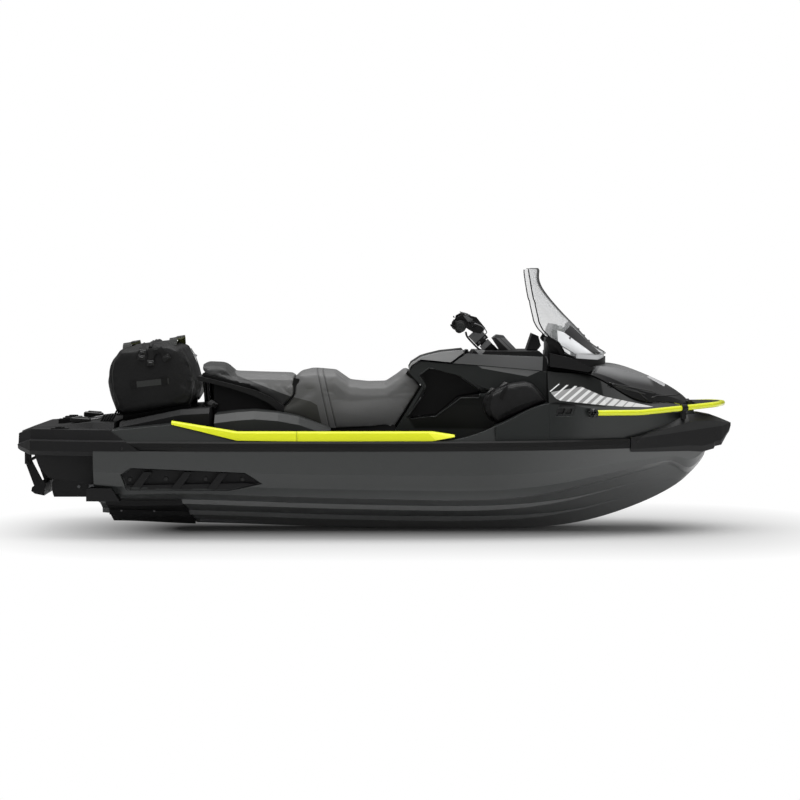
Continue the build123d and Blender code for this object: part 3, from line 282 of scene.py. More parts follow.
# %% Black plastics and rubber
BLACK = (0.0045, 0.0045, 0.0047)
matte_black = plastic("grained_black", (0.0075, 0.0075, 0.0078), 0.55, 0.16, 700, 0.35)
satin_black = plastic("satin_black", BLACK, 0.38, 0.22, 1200, 0.15)
rail_rubber = plastic("rail_rubber", (0.007, 0.007, 0.007), 0.62, 0.14, 500, 0.3)
slate = plastic("slate_plastic", (0.016, 0.0172, 0.017), 0.42, 0.24, 900, 0.2, 0.08)
print("plastics ready")

# %% [markdown]
# The panels of the console are painted in a metallic grey. Half of a full metallic value gives the dull
# silver of such paint, which reflects the studio without a clear picture of it.

# %% Metallic grey of the console panels
PANEL_GREY = (0.135, 0.137, 0.138)
panel_grey = finish("panel_grey", PANEL_GREY, 0.34, 0.4, 0.55)
drift(panel_grey, PANEL_GREY, 0.06)
grain(panel_grey, 1800, 0.06)
print("panel grey", PANEL_GREY)

# %% [markdown]
# The footwell trims and the tube round the bow share one bright yellow-green. The trim is grained
# plastic; the tube is smooth and clear-coated.

# %% Bright yellow-green trim and tube
LIME = (0.56, 0.60, 0.007)
lime_trim = plastic("lime_trim", LIME, 0.42, 0.25, 900, 0.10, 0.03)
lime_tube = finish("lime_tube", LIME, 0.28, 0.4, 0.0, 0.4)
drift(lime_tube, LIME, 0.03)
print("lime", LIME)

# %% [markdown]
# Three metals: a dark casting with a coarse skin for the jet drive and the bar, polished stainless for the
# impeller, and plated steel for the screws.

# %% Metals
CASTING = (0.10, 0.102, 0.105)
cast_metal = finish("cast_metal", CASTING, 0.42, 0.5, 0.9, edge=0.001)
drift(cast_metal, CASTING, 0.1, 12)
grain(cast_metal, 400, 0.3)
steel = finish("stainless", (0.48, 0.48, 0.49), 0.25, 0.5, 1.0, edge=0.0005)
wear(steel, 40, 0.2, 0.34)
screw_metal = finish("screw_metal", (0.16, 0.16, 0.165), 0.35, 0.5, 0.8, edge=0.0004)
wear(screw_metal, 60, 0.3, 0.45)
engine_paint = plastic("engine_paint", (0.10, 0.10, 0.10), 0.5, 0.4, 200, 0.3)
print("metals ready")

# %% [markdown]
# The foam mats have a ribbed anti-slip face. A wave texture gives parallel grooves; its bump is enough,
# because the ribs are under a millimetre high.

# %% Traction mat
mat_foam = finish("traction_mat", (0.010, 0.010, 0.0103), 0.75, 0.12)
ribs = node(mat_foam, "ShaderNodeTexWave", Scale=28.0, wave_type="BANDS", bands_direction="DIAGONAL")
link(mat_foam, place(mat_foam), ribs.inputs["Vector"])
relief(mat_foam, ribs.outputs["Fac"], 0.6, 0.001)
print("mat ready")

# %% [markdown]
# The windshield is clear sheet with a faint smoke tint: mostly see-through, denser where it turns away
# and dark where it is seen edge-on. A Layer Weight tells how far the sheet faces away, and drives both.

# %% Windshield and display glass
SHEET_THIN, SHEET_DENSE, SHEET_EDGE = 0.12, 0.34, 0.85     # opacity face-on, turned away and edge-on
screen = finish("clear_screen", (0.46, 0.47, 0.48), 0.05, 0.5, edge=0)
facing = node(screen, "ShaderNodeLayerWeight", Blend=0.35)
density = node(screen, "ShaderNodeMapRange")
density.inputs["To Min"].default_value = SHEET_THIN
density.inputs["To Max"].default_value = SHEET_DENSE
link(screen, facing.outputs["Facing"], density.inputs["Value"])
edge_on = crisp(screen, maths(screen, "SUBTRACT", facing.outputs["Facing"], 0.70), 0.06)
paint(screen, edge_on, (0.02, 0.02, 0.02))
edge_alpha = maths(screen, "MULTIPLY", edge_on, SHEET_EDGE)
sheet_alpha = maths(screen, "MAXIMUM", density.outputs["Result"], edge_alpha)
link(screen, sheet_alpha, shader_of(screen).inputs["Alpha"])
display_glass = finish("display_glass", (0.004, 0.004, 0.005), 0.08, 0.5)
wear(display_glass, 20, 0.06, 0.1)
print("glass ready")

# %% [markdown]
# With the finishes ready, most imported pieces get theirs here. Pieces with colour breaks of their own, such
# as the deck, the console and the hood, follow later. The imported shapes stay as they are.

# %% Dress the CAD nodes
def dress(names, mat):
    for name in names.split():
        nodes[name].data.materials.clear()
        nodes[name].data.materials.append(mat)
    print(mat.name, "on", names)


dress("hull", hull_gelcoat)
dress("stern_deck gunwales fenders", gelcoat)
dress("side_covers", slate)
dress("rub_rails grips", rail_rubber)
dress("footwell_trims", lime_trim)
dress("bow_rail", lime_tube)
dress("console_panels", panel_grey)
dress("windshield_base windshield_bracket pedestal", satin_black)
dress("swim_platform transom_corners sponsons ride_plate rear_hatch", matte_black)
dress("bag_rails bow_tray bow_rail_mounts accessory_mounts boarding_ladder", matte_black)
dress("mirror_pods grab_rail handlebar_pad control_pods reverse_gate levers", satin_black)
dress("footwell_mats", mat_foam)
dress("display", display_glass)
dress("handlebar jet_pump steering_nozzle intake_grate", cast_metal)
dress("impeller", steel)
dress("engine", engine_paint)
dress("windshield", screen)

# %% [markdown]
# The front deck is charcoal below and glossy black above its moulded line, with painted shade on the
# shoulder behind the side case, which is painted darker and duller, and two black vents. Each is a patch
# inside an outline in side view.

# %% Front deck colours
deck_finish = flake_finish("deck_with_band", CHARCOAL, 0.34, 0.15, 0.004)
moulded_line = [(0.80, 0.58), (0.836, 0.53), (0.90, 0.446), (0.93, 0.43), (1.26, 0.396), (1.64, 0.36),
                (2.1, 0.335)]
patch(deck_finish, depth_inside(deck_finish, moulded_line, closed=False), (0.011, 0.0115, 0.0115),
      others=[("Roughness", 0.22)])
# Painted shade: the shoulder behind the side case is painted darker and duller.
shoulder_shade = depth_inside(deck_finish, [(0.84, 0.42), (1.16, 0.40), (1.14, 0.57), (0.84, 0.61)])
patch(deck_finish, shoulder_shade, (0.0045, 0.005, 0.0048), 0.01,
      [("Specular IOR Level", 0.08), ("Coat Weight", 0.0), ("Roughness", 0.6)])
print("deck colours ready")

# %% [markdown]
# Along the moulded line runs a band of slanted pale bars on grey. Across the slant, the distance to the
# nearest bar's middle is a triangle wave of one dot product, and a bar is wherever that distance is under
# half the bar's width, which grows towards the bow.

# %% Striped band of the front deck
BAR_SLANT = 1.33        # run forward per metre up
BAR_PITCH = 0.0504
BAR_FIRST = 0.242       # middle of the first bar, measured along the deck at z = 0
BAR_WIDTH, BAR_GROWTH = 0.008, 0.071
BAR_SQUARE = 0.6        # turns a run along the deck into a distance square to a bar
band_rear = [(0.861, 0.497), (0.883, 0.472), (0.898, 0.448), (0.93, 0.434), (1.014, 0.424), (1.16, 0.407),
             (1.16, 0.4476), (1.04, 0.50), (0.89, 0.52)]
band_fore = [(1.14, 0.409), (1.264, 0.398), (1.38, 0.393), (1.414, 0.394), (1.14, 0.4542)]
band = union(deck_finish, [band_rear, band_fore])
grey_from = depth_inside(deck_finish, [(0.885, 0.476), (0.86, 0.30)], closed=False)
grey_under = depth_inside(deck_finish, [(1.04, 0.50), (0.885, 0.476)], closed=False)
grey_field = maths(deck_finish, "MAXIMUM", maths(deck_finish, "MINIMUM", grey_from, grey_under),
                   depth_inside(deck_finish, band_fore))
patch(deck_finish, maths(deck_finish, "MINIMUM", band, grey_field), (0.19, 0.19, 0.19))
along = node(deck_finish, "ShaderNodeVectorMath", operation="DOT_PRODUCT")
link(deck_finish, place(deck_finish), along.inputs[0])
along.inputs[1].default_value = (1.0, 0.0, -BAR_SLANT)
from_first = maths(deck_finish, "SUBTRACT", along.outputs["Value"], BAR_FIRST)
to_middle = maths(deck_finish, "PINGPONG", from_first, BAR_PITCH / 2)
half_width = maths(deck_finish, "ADD", maths(deck_finish, "MULTIPLY", from_first, BAR_GROWTH / 2),
                   BAR_WIDTH / 2)
bars = maths(deck_finish, "MULTIPLY", maths(deck_finish, "SUBTRACT", half_width, to_middle), BAR_SQUARE)
ahead = maths(deck_finish, "ADD", from_first, BAR_PITCH / 2)
bars = maths(deck_finish, "MINIMUM", maths(deck_finish, "MINIMUM", bars, ahead), band)
patch(deck_finish, bars, (0.50, 0.50, 0.50))
print("band with a bar each", BAR_PITCH, "m")

# %% [markdown]
# The two vents lie one above the other behind the band. Each is a long black patch whose ends lean
# forward, the way the bars do.

# %% Vents of the front deck
VENT_LONG, VENT_LEAN = 0.080, 0.009     # length, and how far the ends lean
for x, low, high in ((0.919, 0.403, 0.420), (0.903, 0.371, 0.394)):
    vent = [(x, low), (x + VENT_LONG, low), (x + VENT_LONG + 0.010, high), (x + VENT_LEAN, high)]
    patch(deck_finish, depth_inside(deck_finish, vent), (0.003, 0.003, 0.003))
dress("front_deck", deck_finish)

# %% [markdown]
# New pieces are built from plain lists of points. One helper makes the object, gives it a finish and
# makes it ride on a body of the craft, so nothing is left behind when a joint moves.

# %% Mesh helpers
def add_piece(name, verts, faces, body, mat, smooth=False):
    """A new object from points and faces, with its finish and the body that it rides on."""
    mesh = bpy.data.meshes.new(name)
    mesh.from_pydata([tuple(v) for v in verts], [], faces)
    shell = bmesh.new()
    shell.from_mesh(mesh)
    bmesh.ops.recalc_face_normals(shell, faces=shell.faces)
    shell.to_mesh(mesh)
    shell.free()
    obj = bpy.data.objects.new(name, mesh)
    bpy.context.scene.collection.objects.link(obj)
    mesh.materials.append(mat)
    for face in mesh.polygons:
        face.use_smooth = smooth
    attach(obj, body)
    return obj


def join_lists(parts):
    """Several (verts, faces) pairs as one."""
    verts, faces = [], []
    for v, f in parts:
        faces += [[i + len(verts) for i in face] for face in f]
        verts += [Vector(p) for p in v]
    return verts, faces


def ring_loft(rings, closed=True):
    """Skin through rings of the same number of points, with flat ends."""
    count = len(rings[0])
    verts = [Vector(p) for ring in rings for p in ring]
    faces = []
    for i in range(len(rings) - 1):
        for j in range(count if closed else count - 1):
            k = (j + 1) % count
            faces.append([i * count + j, i * count + k, (i + 1) * count + k, (i + 1) * count + j])
    if closed:
        faces.append(list(range(count))[::-1])
        faces.append([(len(rings) - 1) * count + j for j in range(count)])
    return verts, faces


def mirrored(part):
    """The part and its twin on the port side."""
    verts, faces = part
    return join_lists([part, ([(v[0], -v[1], v[2]) for v in verts], [f[::-1] for f in faces])])


def tube(points, radius, sides=12, flat=1.0):
    """Round or flattened tube along a list of points."""
    points = [Vector(p) for p in points]
    rings = []
    up = None
    for i, p in enumerate(points):
        ahead = points[min(i + 1, len(points) - 1)] - points[max(i - 1, 0)]
        ahead.normalize()
        if up is None:
            up = ahead.orthogonal().normalized()
        up = (up - ahead * up.dot(ahead)).normalized()
        side = ahead.cross(up)
        rings.append([p + up * math.cos(a) * radius * flat + side * math.sin(a) * radius
                      for a in (2 * math.pi * k / sides for k in range(sides))])
    return ring_loft(rings)


def smooth_line(points, steps=8):
    """Catmull-Rom line through points."""
    pts = [Vector(p) for p in points]
    pts = [pts[0] * 2 - pts[1]] + pts + [pts[-1] * 2 - pts[-2]]
    out = []
    for i in range(1, len(pts) - 2):
        p0, p1, p2, p3 = pts[i - 1:i + 3]
        for k in range(steps):
            t = k / steps
            out.append(0.5 * ((2 * p1) + (p2 - p0) * t + (2 * p0 - 5 * p1 + 4 * p2 - p3) * t * t
                              + (3 * p1 - p0 - 3 * p2 + p3) * t ** 3))
    return out + [pts[-2]]


print("mesh helpers ready")

# %% [markdown]
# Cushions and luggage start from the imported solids, which only hold their space. Each is copied,
# shrunk by a few millimetres, remeshed into even quads, rounded, and blown up by a short cloth
# simulation with inner pressure. How far a point may move is capped, so the pad keeps the outline of
# its solid. Points where the pad rests on something are pinned and stay flat.

# %% Soft shapes
def bake(obj):
    """Turns the modifiers of a new piece into plain mesh."""
    bpy.context.view_layer.update()
    made = bpy.data.meshes.new_from_object(obj.evaluated_get(bpy.context.evaluated_depsgraph_get()))
    obj.modifiers.clear()
    obj.data = made


def soft_copy(source, name, voxel, shrink, rounds):
    """An even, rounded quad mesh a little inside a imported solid."""
    obj = bpy.data.objects.new(name, nodes[source].data.copy())
    bpy.context.scene.collection.objects.link(obj)
    shell = bmesh.new()
    shell.from_mesh(obj.data)
    bmesh.ops.remove_doubles(shell, verts=shell.verts, dist=0.0001)
    shell.to_mesh(obj.data)
    shell.free()
    remesh = obj.modifiers.new("even_quads", "REMESH")
    remesh.mode = "VOXEL"
    remesh.voxel_size = voxel
    smooth = obj.modifiers.new("rounding", "SMOOTH")
    smooth.factor = 0.5
    smooth.iterations = rounds
    inset = obj.modifiers.new("inset", "DISPLACE")
    inset.mid_level = 0.0
    inset.strength = -shrink
    bake(obj)
    return obj


CLOTH_FRAMES = 20


def inflate(obj, pressure, cap, rests):
    """Blows the piece up; rests(point, normal) says where it is held."""
    start = [v.co.copy() for v in obj.data.vertices]
    held = obj.vertex_groups.new(name="held")
    held.add([v.index for v in obj.data.vertices if rests(v.co, v.normal)], 1.0, "REPLACE")
    cloth = obj.modifiers.new("cloth", "CLOTH")
    cloth.settings.quality = 4
    cloth.settings.use_pressure = True
    cloth.settings.uniform_pressure_force = pressure
    cloth.settings.effector_weights.gravity = 0
    cloth.settings.vertex_group_mass = "held"
    cloth.point_cache.frame_start = 1
    cloth.point_cache.frame_end = CLOTH_FRAMES
    for frame_number in range(1, CLOTH_FRAMES + 1):
        bpy.context.scene.frame_set(frame_number)
    bake(obj)
    obj.vertex_groups.clear()
    for vertex, old in zip(obj.data.vertices, start):
        move = vertex.co - old
        if move.length > cap:
            vertex.co = old + move.normalized() * cap
    bpy.context.scene.frame_set(1)


def finish_soft(obj, source, mat):
    """One subdivision, its finish, and its place on the craft."""
    fine = obj.modifiers.new("fine", "SUBSURF")
    fine.levels = fine.render_levels = 1
    bake(obj)
    obj.data.materials.clear()
    obj.data.materials.append(mat)
    for face in obj.data.polygons:
        face.use_smooth = True
    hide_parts(source)
    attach(obj, "craft")
    print(obj.name, len(obj.data.polygons), "faces")


print("soft helpers ready")

# %% [markdown]
# The seats are covered in marine vinyl: a fine woven grain, a soft sheen, and panels in several greys
# that meet at stitched seams. A seam is a narrow dark groove across the pad, straight in side view.

# %% Vinyl and its seams
def sew(mat, lines, width=0.0014, colour=(0.012, 0.012, 0.012)):
    """Grooves in the finish along lines in side view."""
    nearest = None
    for a, b in lines:
        off = maths(mat, "ABSOLUTE", depth_inside(mat, [a, b], closed=False))
        nearest = off if nearest is None else maths(mat, "MINIMUM", nearest, off)
    patch(mat, maths(mat, "SUBTRACT", width, nearest), colour, 0.0008)
    valley = node(mat, "ShaderNodeMapRange", interpolation_type="SMOOTHSTEP")
    valley.inputs["From Max"].default_value = 0.008
    link(mat, nearest, valley.inputs["Value"])
    relief(mat, valley.outputs["Result"], 0.8, 0.004)


def vinyl(name, colour):
    mat = finish(name, colour, 0.46, 0.28, edge=0)
    drift(mat, colour, 0.07, 5.0)
    shader = shader_of(mat)
    shader.inputs["Sheen Weight"].default_value = 0.05
    shader.inputs["Sheen Roughness"].default_value = 0.5
    weave = node(mat, "ShaderNodeTexVoronoi", Scale=520.0)
    link(mat, place(mat), weave.inputs["Vector"])
    relief(mat, weave.outputs["Distance"], 0.35, 0.0006)
    grain(mat, 60, 0.15, 0.002)
    return mat


print("vinyl helpers ready")

# %% [markdown]
# The front cushion is grey with a dark knee panel below a slanted edge, and two seams run over it side by
# side. The rear cushion is black with a grey top.

# %% Seat covers
VINYL_GREY = (0.088, 0.088, 0.088)
VINYL_DARK = (0.030, 0.030, 0.027)
VINYL_BLACK = (0.011, 0.0112, 0.0112)
front_vinyl = vinyl("front_seat_vinyl", VINYL_GREY)
knee_panel = depth_inside(front_vinyl, [(-0.268, 0.270), (-0.299, 0.400), (-0.332, 0.419), (-0.423, 0.441),
                                        (-0.52, 0.42), (-0.52, 0.27)])
patch(front_vinyl, knee_panel, VINYL_DARK)
sew(front_vinyl, [((-0.299, 0.576), (-0.237, 0.289)), ((-0.270, 0.574), (-0.202, 0.285))])
rear_vinyl = vinyl("rear_seat_vinyl", VINYL_BLACK)
seat_top = depth_inside(rear_vinyl, [(-0.713, 0.550), (-0.405, 0.432), (-0.36, 0.50), (-0.36, 0.70),
                                     (-0.79, 0.66)])
patch(rear_vinyl, seat_top, VINYL_GREY)
print("seat covers ready")

# %% [markdown]
# Each cushion rests on its base, so the faces that look down are held and stay flat, and the rest swells
# by up to six millimetres.

# %% Seats
for source, name, mat in (("seat_front", "front_cushion", front_vinyl),
                          ("seat_rear", "rear_cushion", rear_vinyl)):
    cushion = soft_copy(source, name, voxel=0.008, shrink=0.003, rounds=4)
    inflate(cushion, 4.0, 0.006, lambda p, n: n.z < -0.4)
    finish_soft(cushion, source, mat)

# %% [markdown]
# Straps, seams and small panels lie on curved surfaces. A search tree over a surface answers where a
# line of sight from the side meets it, so anything drawn in side view can be laid on the real shape.

# %% Laying things on a surface
def skin_of(*pieces):
    """Search tree over the faces of some pieces."""
    verts, faces = [], []
    for obj in pieces:
        faces += [[i + len(verts) for i in f.vertices] for f in obj.data.polygons]
        verts += [v.co.copy() for v in obj.data.vertices]
    return BVHTree.FromPolygons(verts, faces)


def laid(tree, line, lift, step=0.012):
    """Points of a side-view line, laid on the starboard side and lifted off it."""
    out = []
    y = None
    for (x0, z0), (x1, z1) in zip(line, line[1:]):
        count = max(1, math.ceil(math.hypot(x1 - x0, z1 - z0) / step))
        for k in range(count + (line[-1] == (x1, z1))):
            x, z = x0 + (x1 - x0) * k / count, z0 + (z1 - z0) * k / count
            hit = tree.ray_cast(Vector((x, -0.9, z)), Vector((0, 1, 0)))[0]
            y = hit.y if hit else y
            out.append(Vector((x, (0.0 if y is None else y) - lift, z)))
    return out


def panel(tree, outline, lift, bite=0.004, step=0.012):
    """A thin closed panel with a side-view outline, laid over the starboard side."""
    rim = laid(tree, outline + outline[:1], 0, step)[:-1]
    flat = [Vector((p.x, p.z)) for p in rim]
    low = [min(p[i] for p in flat) for i in (0, 1)]
    high = [max(p[i] for p in flat) for i in (0, 1)]
    across = [math.ceil((b - a) / step) for a, b in zip(low, high)]
    inside = [Vector((low[0] + (i + 0.5) * step, low[1] + (j + 0.5) * step))
              for i in range(across[0]) for j in range(across[1])]
    ring = [(i, (i + 1) % len(flat)) for i in range(len(flat))]
    made = delaunay_2d_cdt(flat + inside, ring, [list(range(len(flat)))], 1, 1e-6)
    spots, faces = made[0], [list(f) for f in made[2]]
    front = [laid(tree, [tuple(s), tuple(s)], lift)[0] for s in spots]
    uses = {}
    for face in faces:
        for a, b in zip(face, face[1:] + face[:1]):
            uses.setdefault(frozenset((a, b)), []).append((a, b))
    count = len(front)
    sides = [[b, a, a + count, b + count] for ((a, b), *more) in uses.values() if not more]
    back = [[i + count for i in reversed(face)] for face in faces]
    return front + [p + Vector((0, bite, 0)) for p in front], faces + back + sides


def strap(tree, line, width, thick, lift=0.0):
    """Flat webbing along a side-view line."""
    middle = laid(tree, line, lift, 0.008)
    rings = []
    for i, p in enumerate(middle):
        ahead = (middle[min(i + 1, len(middle) - 1)] - middle[max(i - 1, 0)]).normalized()
        side = ahead.cross(Vector((0, -1, 0))).normalized() * width / 2
        out = side.cross(ahead).normalized() * thick
        out = out if out.y < 0 else -out
        rings.append([p - side - out * 0.3, p + side - out * 0.3, p + side + out * 0.7, p - side + out * 0.7])
    return ring_loft(rings)


def slab(centre, size, turn=0.0, chamfer=0.002):
    """A small moulded block, turned in side view, with chamfered edges."""
    cx, cy, cz = centre
    hx, hy, hz = (s / 2 for s in size)
    c, s = math.cos(math.radians(turn)), math.sin(math.radians(turn))
    rings = []
    for y, less in ((-hy, chamfer), (-hy + chamfer, 0), (hy - chamfer, 0), (hy, chamfer)):
        x, z = hx - less, hz - less
        cut = chamfer * 1.5
        flat = [(-x + cut, -z), (x - cut, -z), (x, -z + cut), (x, z - cut), (x - cut, z), (-x + cut, z),
                (-x, z - cut), (-x, -z + cut)]
        rings.append([(cx + a * c - b * s, cy + y, cz + a * s + b * c) for a, b in flat])
    return ring_loft(rings)


print("laying helpers ready")

# %% [markdown]
# Luggage is coated fabric: almost black, a fine square weave under the coating, and a broad soft shine.
# Webbing has coarse ribs across it. The reflective tape is the one bright thing on the bag.

# %% Fabric and webbing
def fabric(name, colour, scale, roughness=0.5, strength=0.4):
    mat = finish(name, colour, roughness, 0.18, edge=0)
    drift(mat, colour, 0.15, 7.0)
    weave = node(mat, "ShaderNodeTexChecker", Scale=scale)
    link(mat, place(mat), weave.inputs["Vector"])
    relief(mat, weave.outputs["Fac"], strength, 0.0003)
    creases = node(mat, "ShaderNodeTexNoise", Scale=9.0, Detail=3.0)
    link(mat, place(mat), creases.inputs["Vector"])
    relief(mat, creases.outputs["Fac"], 0.35, 0.02)
    return mat


bag_fabric = fabric("coated_fabric", (0.0062, 0.0062, 0.0064), 420)
# Painted highlight: the bag's front end is painted paler where it faces the light.
lit_end = depth_inside(bag_fabric, [(-0.905, 0.46), (-0.880, 0.54), (-0.905, 0.64), (-0.955, 0.70),
                                    (-0.955, 0.66), (-0.930, 0.54), (-0.935, 0.47)])
patch(bag_fabric, maths(bag_fabric, "ADD", lit_end, 0.004), (0.030, 0.030, 0.030), 0.016)
case_fabric = fabric("case_fabric", (0.0085, 0.0085, 0.0087), 600, 0.42)
webbing_black, webbing_grey, webbing_olive = [
    fabric(name, colour, 300, 0.6, 0.8) for name, colour in (("black_webbing", (0.0035, 0.0035, 0.0035)),
                                                             ("grey_webbing", (0.030, 0.031, 0.030)),
                                                             ("olive_webbing", (0.055, 0.060, 0.018)))]
reflective = finish("reflective_tape", (0.42, 0.42, 0.43), 0.3, 0.5, 0.3, edge=0)
grain(reflective, 900, 0.3)
buckle_plastic = plastic("buckle_plastic", (0.005, 0.005, 0.005), 0.32, 0.35, 1200, 0.1, edge=0.001)
print("fabrics ready")

# %% [markdown]
# The dry bag lies across the rear deck. Its space is a simple block, so before it is blown up it gets
# the slack of a part-filled bag: shallow dents, and a pinch on each end below the rolled top.

# %% Dry bag
BAG_MIDDLE = Vector((-1.13, 0.0, 0.55))
PINCH_DEEP, SAG_DEEP, BELLY_OUT = 0.020, 0.024, 0.018


def rise(value, start, span):
    """0 up to start and 1 from start plus span, straight between."""
    return min(1.0, max(0.0, (value - start) / span))


bag = soft_copy("cargo_bag", "dry_bag", voxel=0.010, shrink=0.002, rounds=5)
for vertex in bag.data.vertices:
    p = vertex.co
    dent = noise.noise(p * 6.0) * 0.006 + noise.noise(p * 14.0 + Vector((4, 0, 0))) * 0.003
    pinch = math.exp(-((p.x + 1.145) / 0.045) ** 2) * rise(p.z, 0.58, 0.10) * rise(abs(p.y), 0.27, 0.06)
    sag = rise(abs(p.y), 0.23, 0.06) * rise(-p.z, -0.50, 0.10)
    belly = max(0.0, 1 - ((p.z - 0.51) / 0.15) ** 2) * rise(-p.x, 1.20, 0.12)
    p += Vector((-BELLY_OUT * belly, 0, -SAG_DEEP * sag))
    p += vertex.normal * (dent - 0.002) - Vector((0, math.copysign(PINCH_DEEP, p.y), 0)) * pinch
inflate(bag, 3.0, 0.006, lambda p, n: n.z < -0.5)
finish_soft(bag, "cargo_bag", bag_fabric)
bag_skin = skin_of(bag)

# %% [markdown]
# The bag closes by rolling its top, which leaves a low ridge from end to end. The ridge follows the bag's
# real top: a ray falls on it at each step, and the tube through those points is pressed flat.

# %% Rolled top of the bag
ROLL_X, ROLL_STEP, ROLL_HALF = -1.135, 0.026, 0.312
ridge = []
for i in range(25):
    y = -ROLL_HALF + ROLL_STEP * i
    hit = bag_skin.ray_cast(Vector((ROLL_X, y, 1.0)), Vector((0, 0, -1)))[0]
    wave = 0.003 * math.sin(i * 1.1)
    ridge.append((ROLL_X, y, (hit.z if hit else 0.70) - 0.002 + wave))
add_piece("bag_roll_top", *tube(ridge, 0.015, 14, 0.5), "craft", bag_fabric, True)
print("roll of", len(ridge), "points")

# %% [markdown]
# On each end the roll folds down into a flap, held by webbing with side-release clips. Flaps and straps are
# drawn in side view and laid on the bag's end.

# %% End folds and straps of the bag
fold = panel(bag_skin, [(-1.150, 0.706), (-1.118, 0.708), (-1.078, 0.690), (-1.066, 0.676), (-1.112, 0.664),
                        (-1.124, 0.628), (-1.146, 0.596), (-1.152, 0.640)], 0.006)
add_piece("bag_end_folds", *mirrored(fold), "craft", webbing_black)
end_straps = ((0.034, [(-1.166, 0.712), (-1.176, 0.690), (-1.183, 0.640)]),
              (0.026, [(-1.092, 0.694), (-1.066, 0.664), (-1.044, 0.624)]),
              (0.024, [(-1.138, 0.690), (-1.134, 0.640), (-1.139, 0.602)]))
bands = [strap(bag_skin, line, width, 0.005, 0.005) for width, line in end_straps]
add_piece("bag_end_straps", *mirrored(join_lists(bands)), "craft", webbing_black)
clips = []
for x, z, turn in ((-1.178, 0.672, 82), (-1.183, 0.646, 80), (-1.056, 0.646, -58), (-1.136, 0.618, 90)):
    y = laid(bag_skin, [(x, z), (x, z)], 0.008)[0].y
    clips.append(slab((x, y, z), (0.026, 0.010, 0.038), turn))
    clips.append(slab((x, y - 0.006, z), (0.010, 0.008, 0.026), turn))
add_piece("bag_clips", *mirrored(join_lists(clips)), "craft", buckle_plastic)
print("end folds and straps on", bag.name)

# %% [markdown]
# A grey grab handle crosses each end, stitched down on two dark patches, and piping covers the seams at the
# bag's front and rear edges.

# %% End handles and piping of the bag
def on_bag(line):
    """The line drawn in towards the bag's middle until every point meets the bag."""
    out = []
    for x, z in line:
        while not bag_skin.ray_cast(Vector((x, -0.9, z)), Vector((0, 1, 0)))[0]:
            x += (BAG_MIDDLE.x - x) * 0.02
            z += (BAG_MIDDLE.z - z) * 0.02
        out.append((x, z))
    return out


end_handle = strap(bag_skin, [(-1.236, 0.508), (-1.044, 0.529)], 0.030, 0.004, 0.003)
patches = [strap(bag_skin, ends, 0.040, 0.006, 0.003) for ends in ([(-1.238, 0.508), (-1.206, 0.5115)],
                                                                   [(-1.082, 0.525), (-1.050, 0.528)])]
add_piece("bag_end_handles", *mirrored(end_handle), "craft", webbing_grey)
add_piece("bag_handle_patches", *mirrored(join_lists(patches)), "craft", webbing_black)
front_edge = [(-0.962, 0.694), (-0.944, 0.662), (-0.930, 0.600), (-0.922, 0.520), (-0.932, 0.440),
              (-0.946, 0.408)]
rear_edge = [(-1.318, 0.640), (-1.330, 0.560), (-1.322, 0.480), (-1.296, 0.400)]
welts = [tube(smooth_line(laid(bag_skin, on_bag(edge), 0.0005, 0.03), 3), 0.0022, 8)
         for edge in (front_edge, rear_edge)]
add_piece("bag_piping", *mirrored(join_lists(welts)), "craft", webbing_grey, True)
print("handles and piping on", bag.name)

# %% [markdown]
# Two long webbing handles run across the bag's top and stand off it, grey outside and olive inside. Both
# layers follow one path, so the lining is the same loft, a little lower and shorter.

# %% Top handles and reflector of the bag
HANDLE_HALF = 0.020     # half width of the webbing
HANDLE_TILT = 0.006     # its front edge is this much higher


def handle(x, z, lift, thick, shorter=0.0):
    """One layer of a webbing handle that runs across the bag and stands off it."""
    path = [(-0.272, -0.022), (-0.252, 0.006), (-0.222, 0.018), (-0.10, 0.015), (0.0, 0.012)]
    path += [(-y, dz) for y, dz in reversed(path[:-1])]
    rings = []
    for y, dz in path:
        y = math.copysign(abs(y) - shorter, y) if y else 0.0
        low = z + dz + lift
        high = low + HANDLE_TILT
        rings.append([(x - HANDLE_HALF, y, low), (x + HANDLE_HALF, y, high),
                      (x + HANDLE_HALF, y, high + thick), (x - HANDLE_HALF, y, low + thick)])
    return ring_loft(rings)


spots = ((-1.266, 0.690), (-1.030, 0.716))
outsides = [handle(x, z, 0.004, 0.005) for x, z in spots]
linings = [handle(x, z, -0.003, 0.006, shorter=0.004) for x, z in spots]
add_piece("bag_top_handles", *join_lists(outsides), "craft", webbing_grey)
add_piece("bag_handle_linings", *join_lists(linings), "craft", webbing_olive)
tape = strap(bag_skin, [(-0.945, 0.652), (-0.930, 0.644)], 0.012, 0.001, 0.001)
add_piece("bag_reflector", *mirrored(tape), "craft", reflective)
print("top handles", len(spots))

# %% [markdown]
# A firm case hangs on each side of the console. Its face is one curved panel, so it is blown up only a
# little, and the faces near the craft's middle are held.

# %% Side cases
CASE_INNER_Y = 0.30     # the cases rest on the console up to here
cases = soft_copy("saddle_bags", "side_cases", voxel=0.007, shrink=0.002, rounds=3)
inflate(cases, 2.0, 0.003, lambda p, n: abs(p.y) < CASE_INNER_Y)
finish_soft(cases, "saddle_bags", case_fabric)
case_skin = skin_of(cases)
print("cases blown up")

# %% [markdown]
# The welt follows the case's upper rim as a thin cord. Each buckle is three blocks, every one smaller and
# higher up than the last, which read as the steps of a ladder buckle.

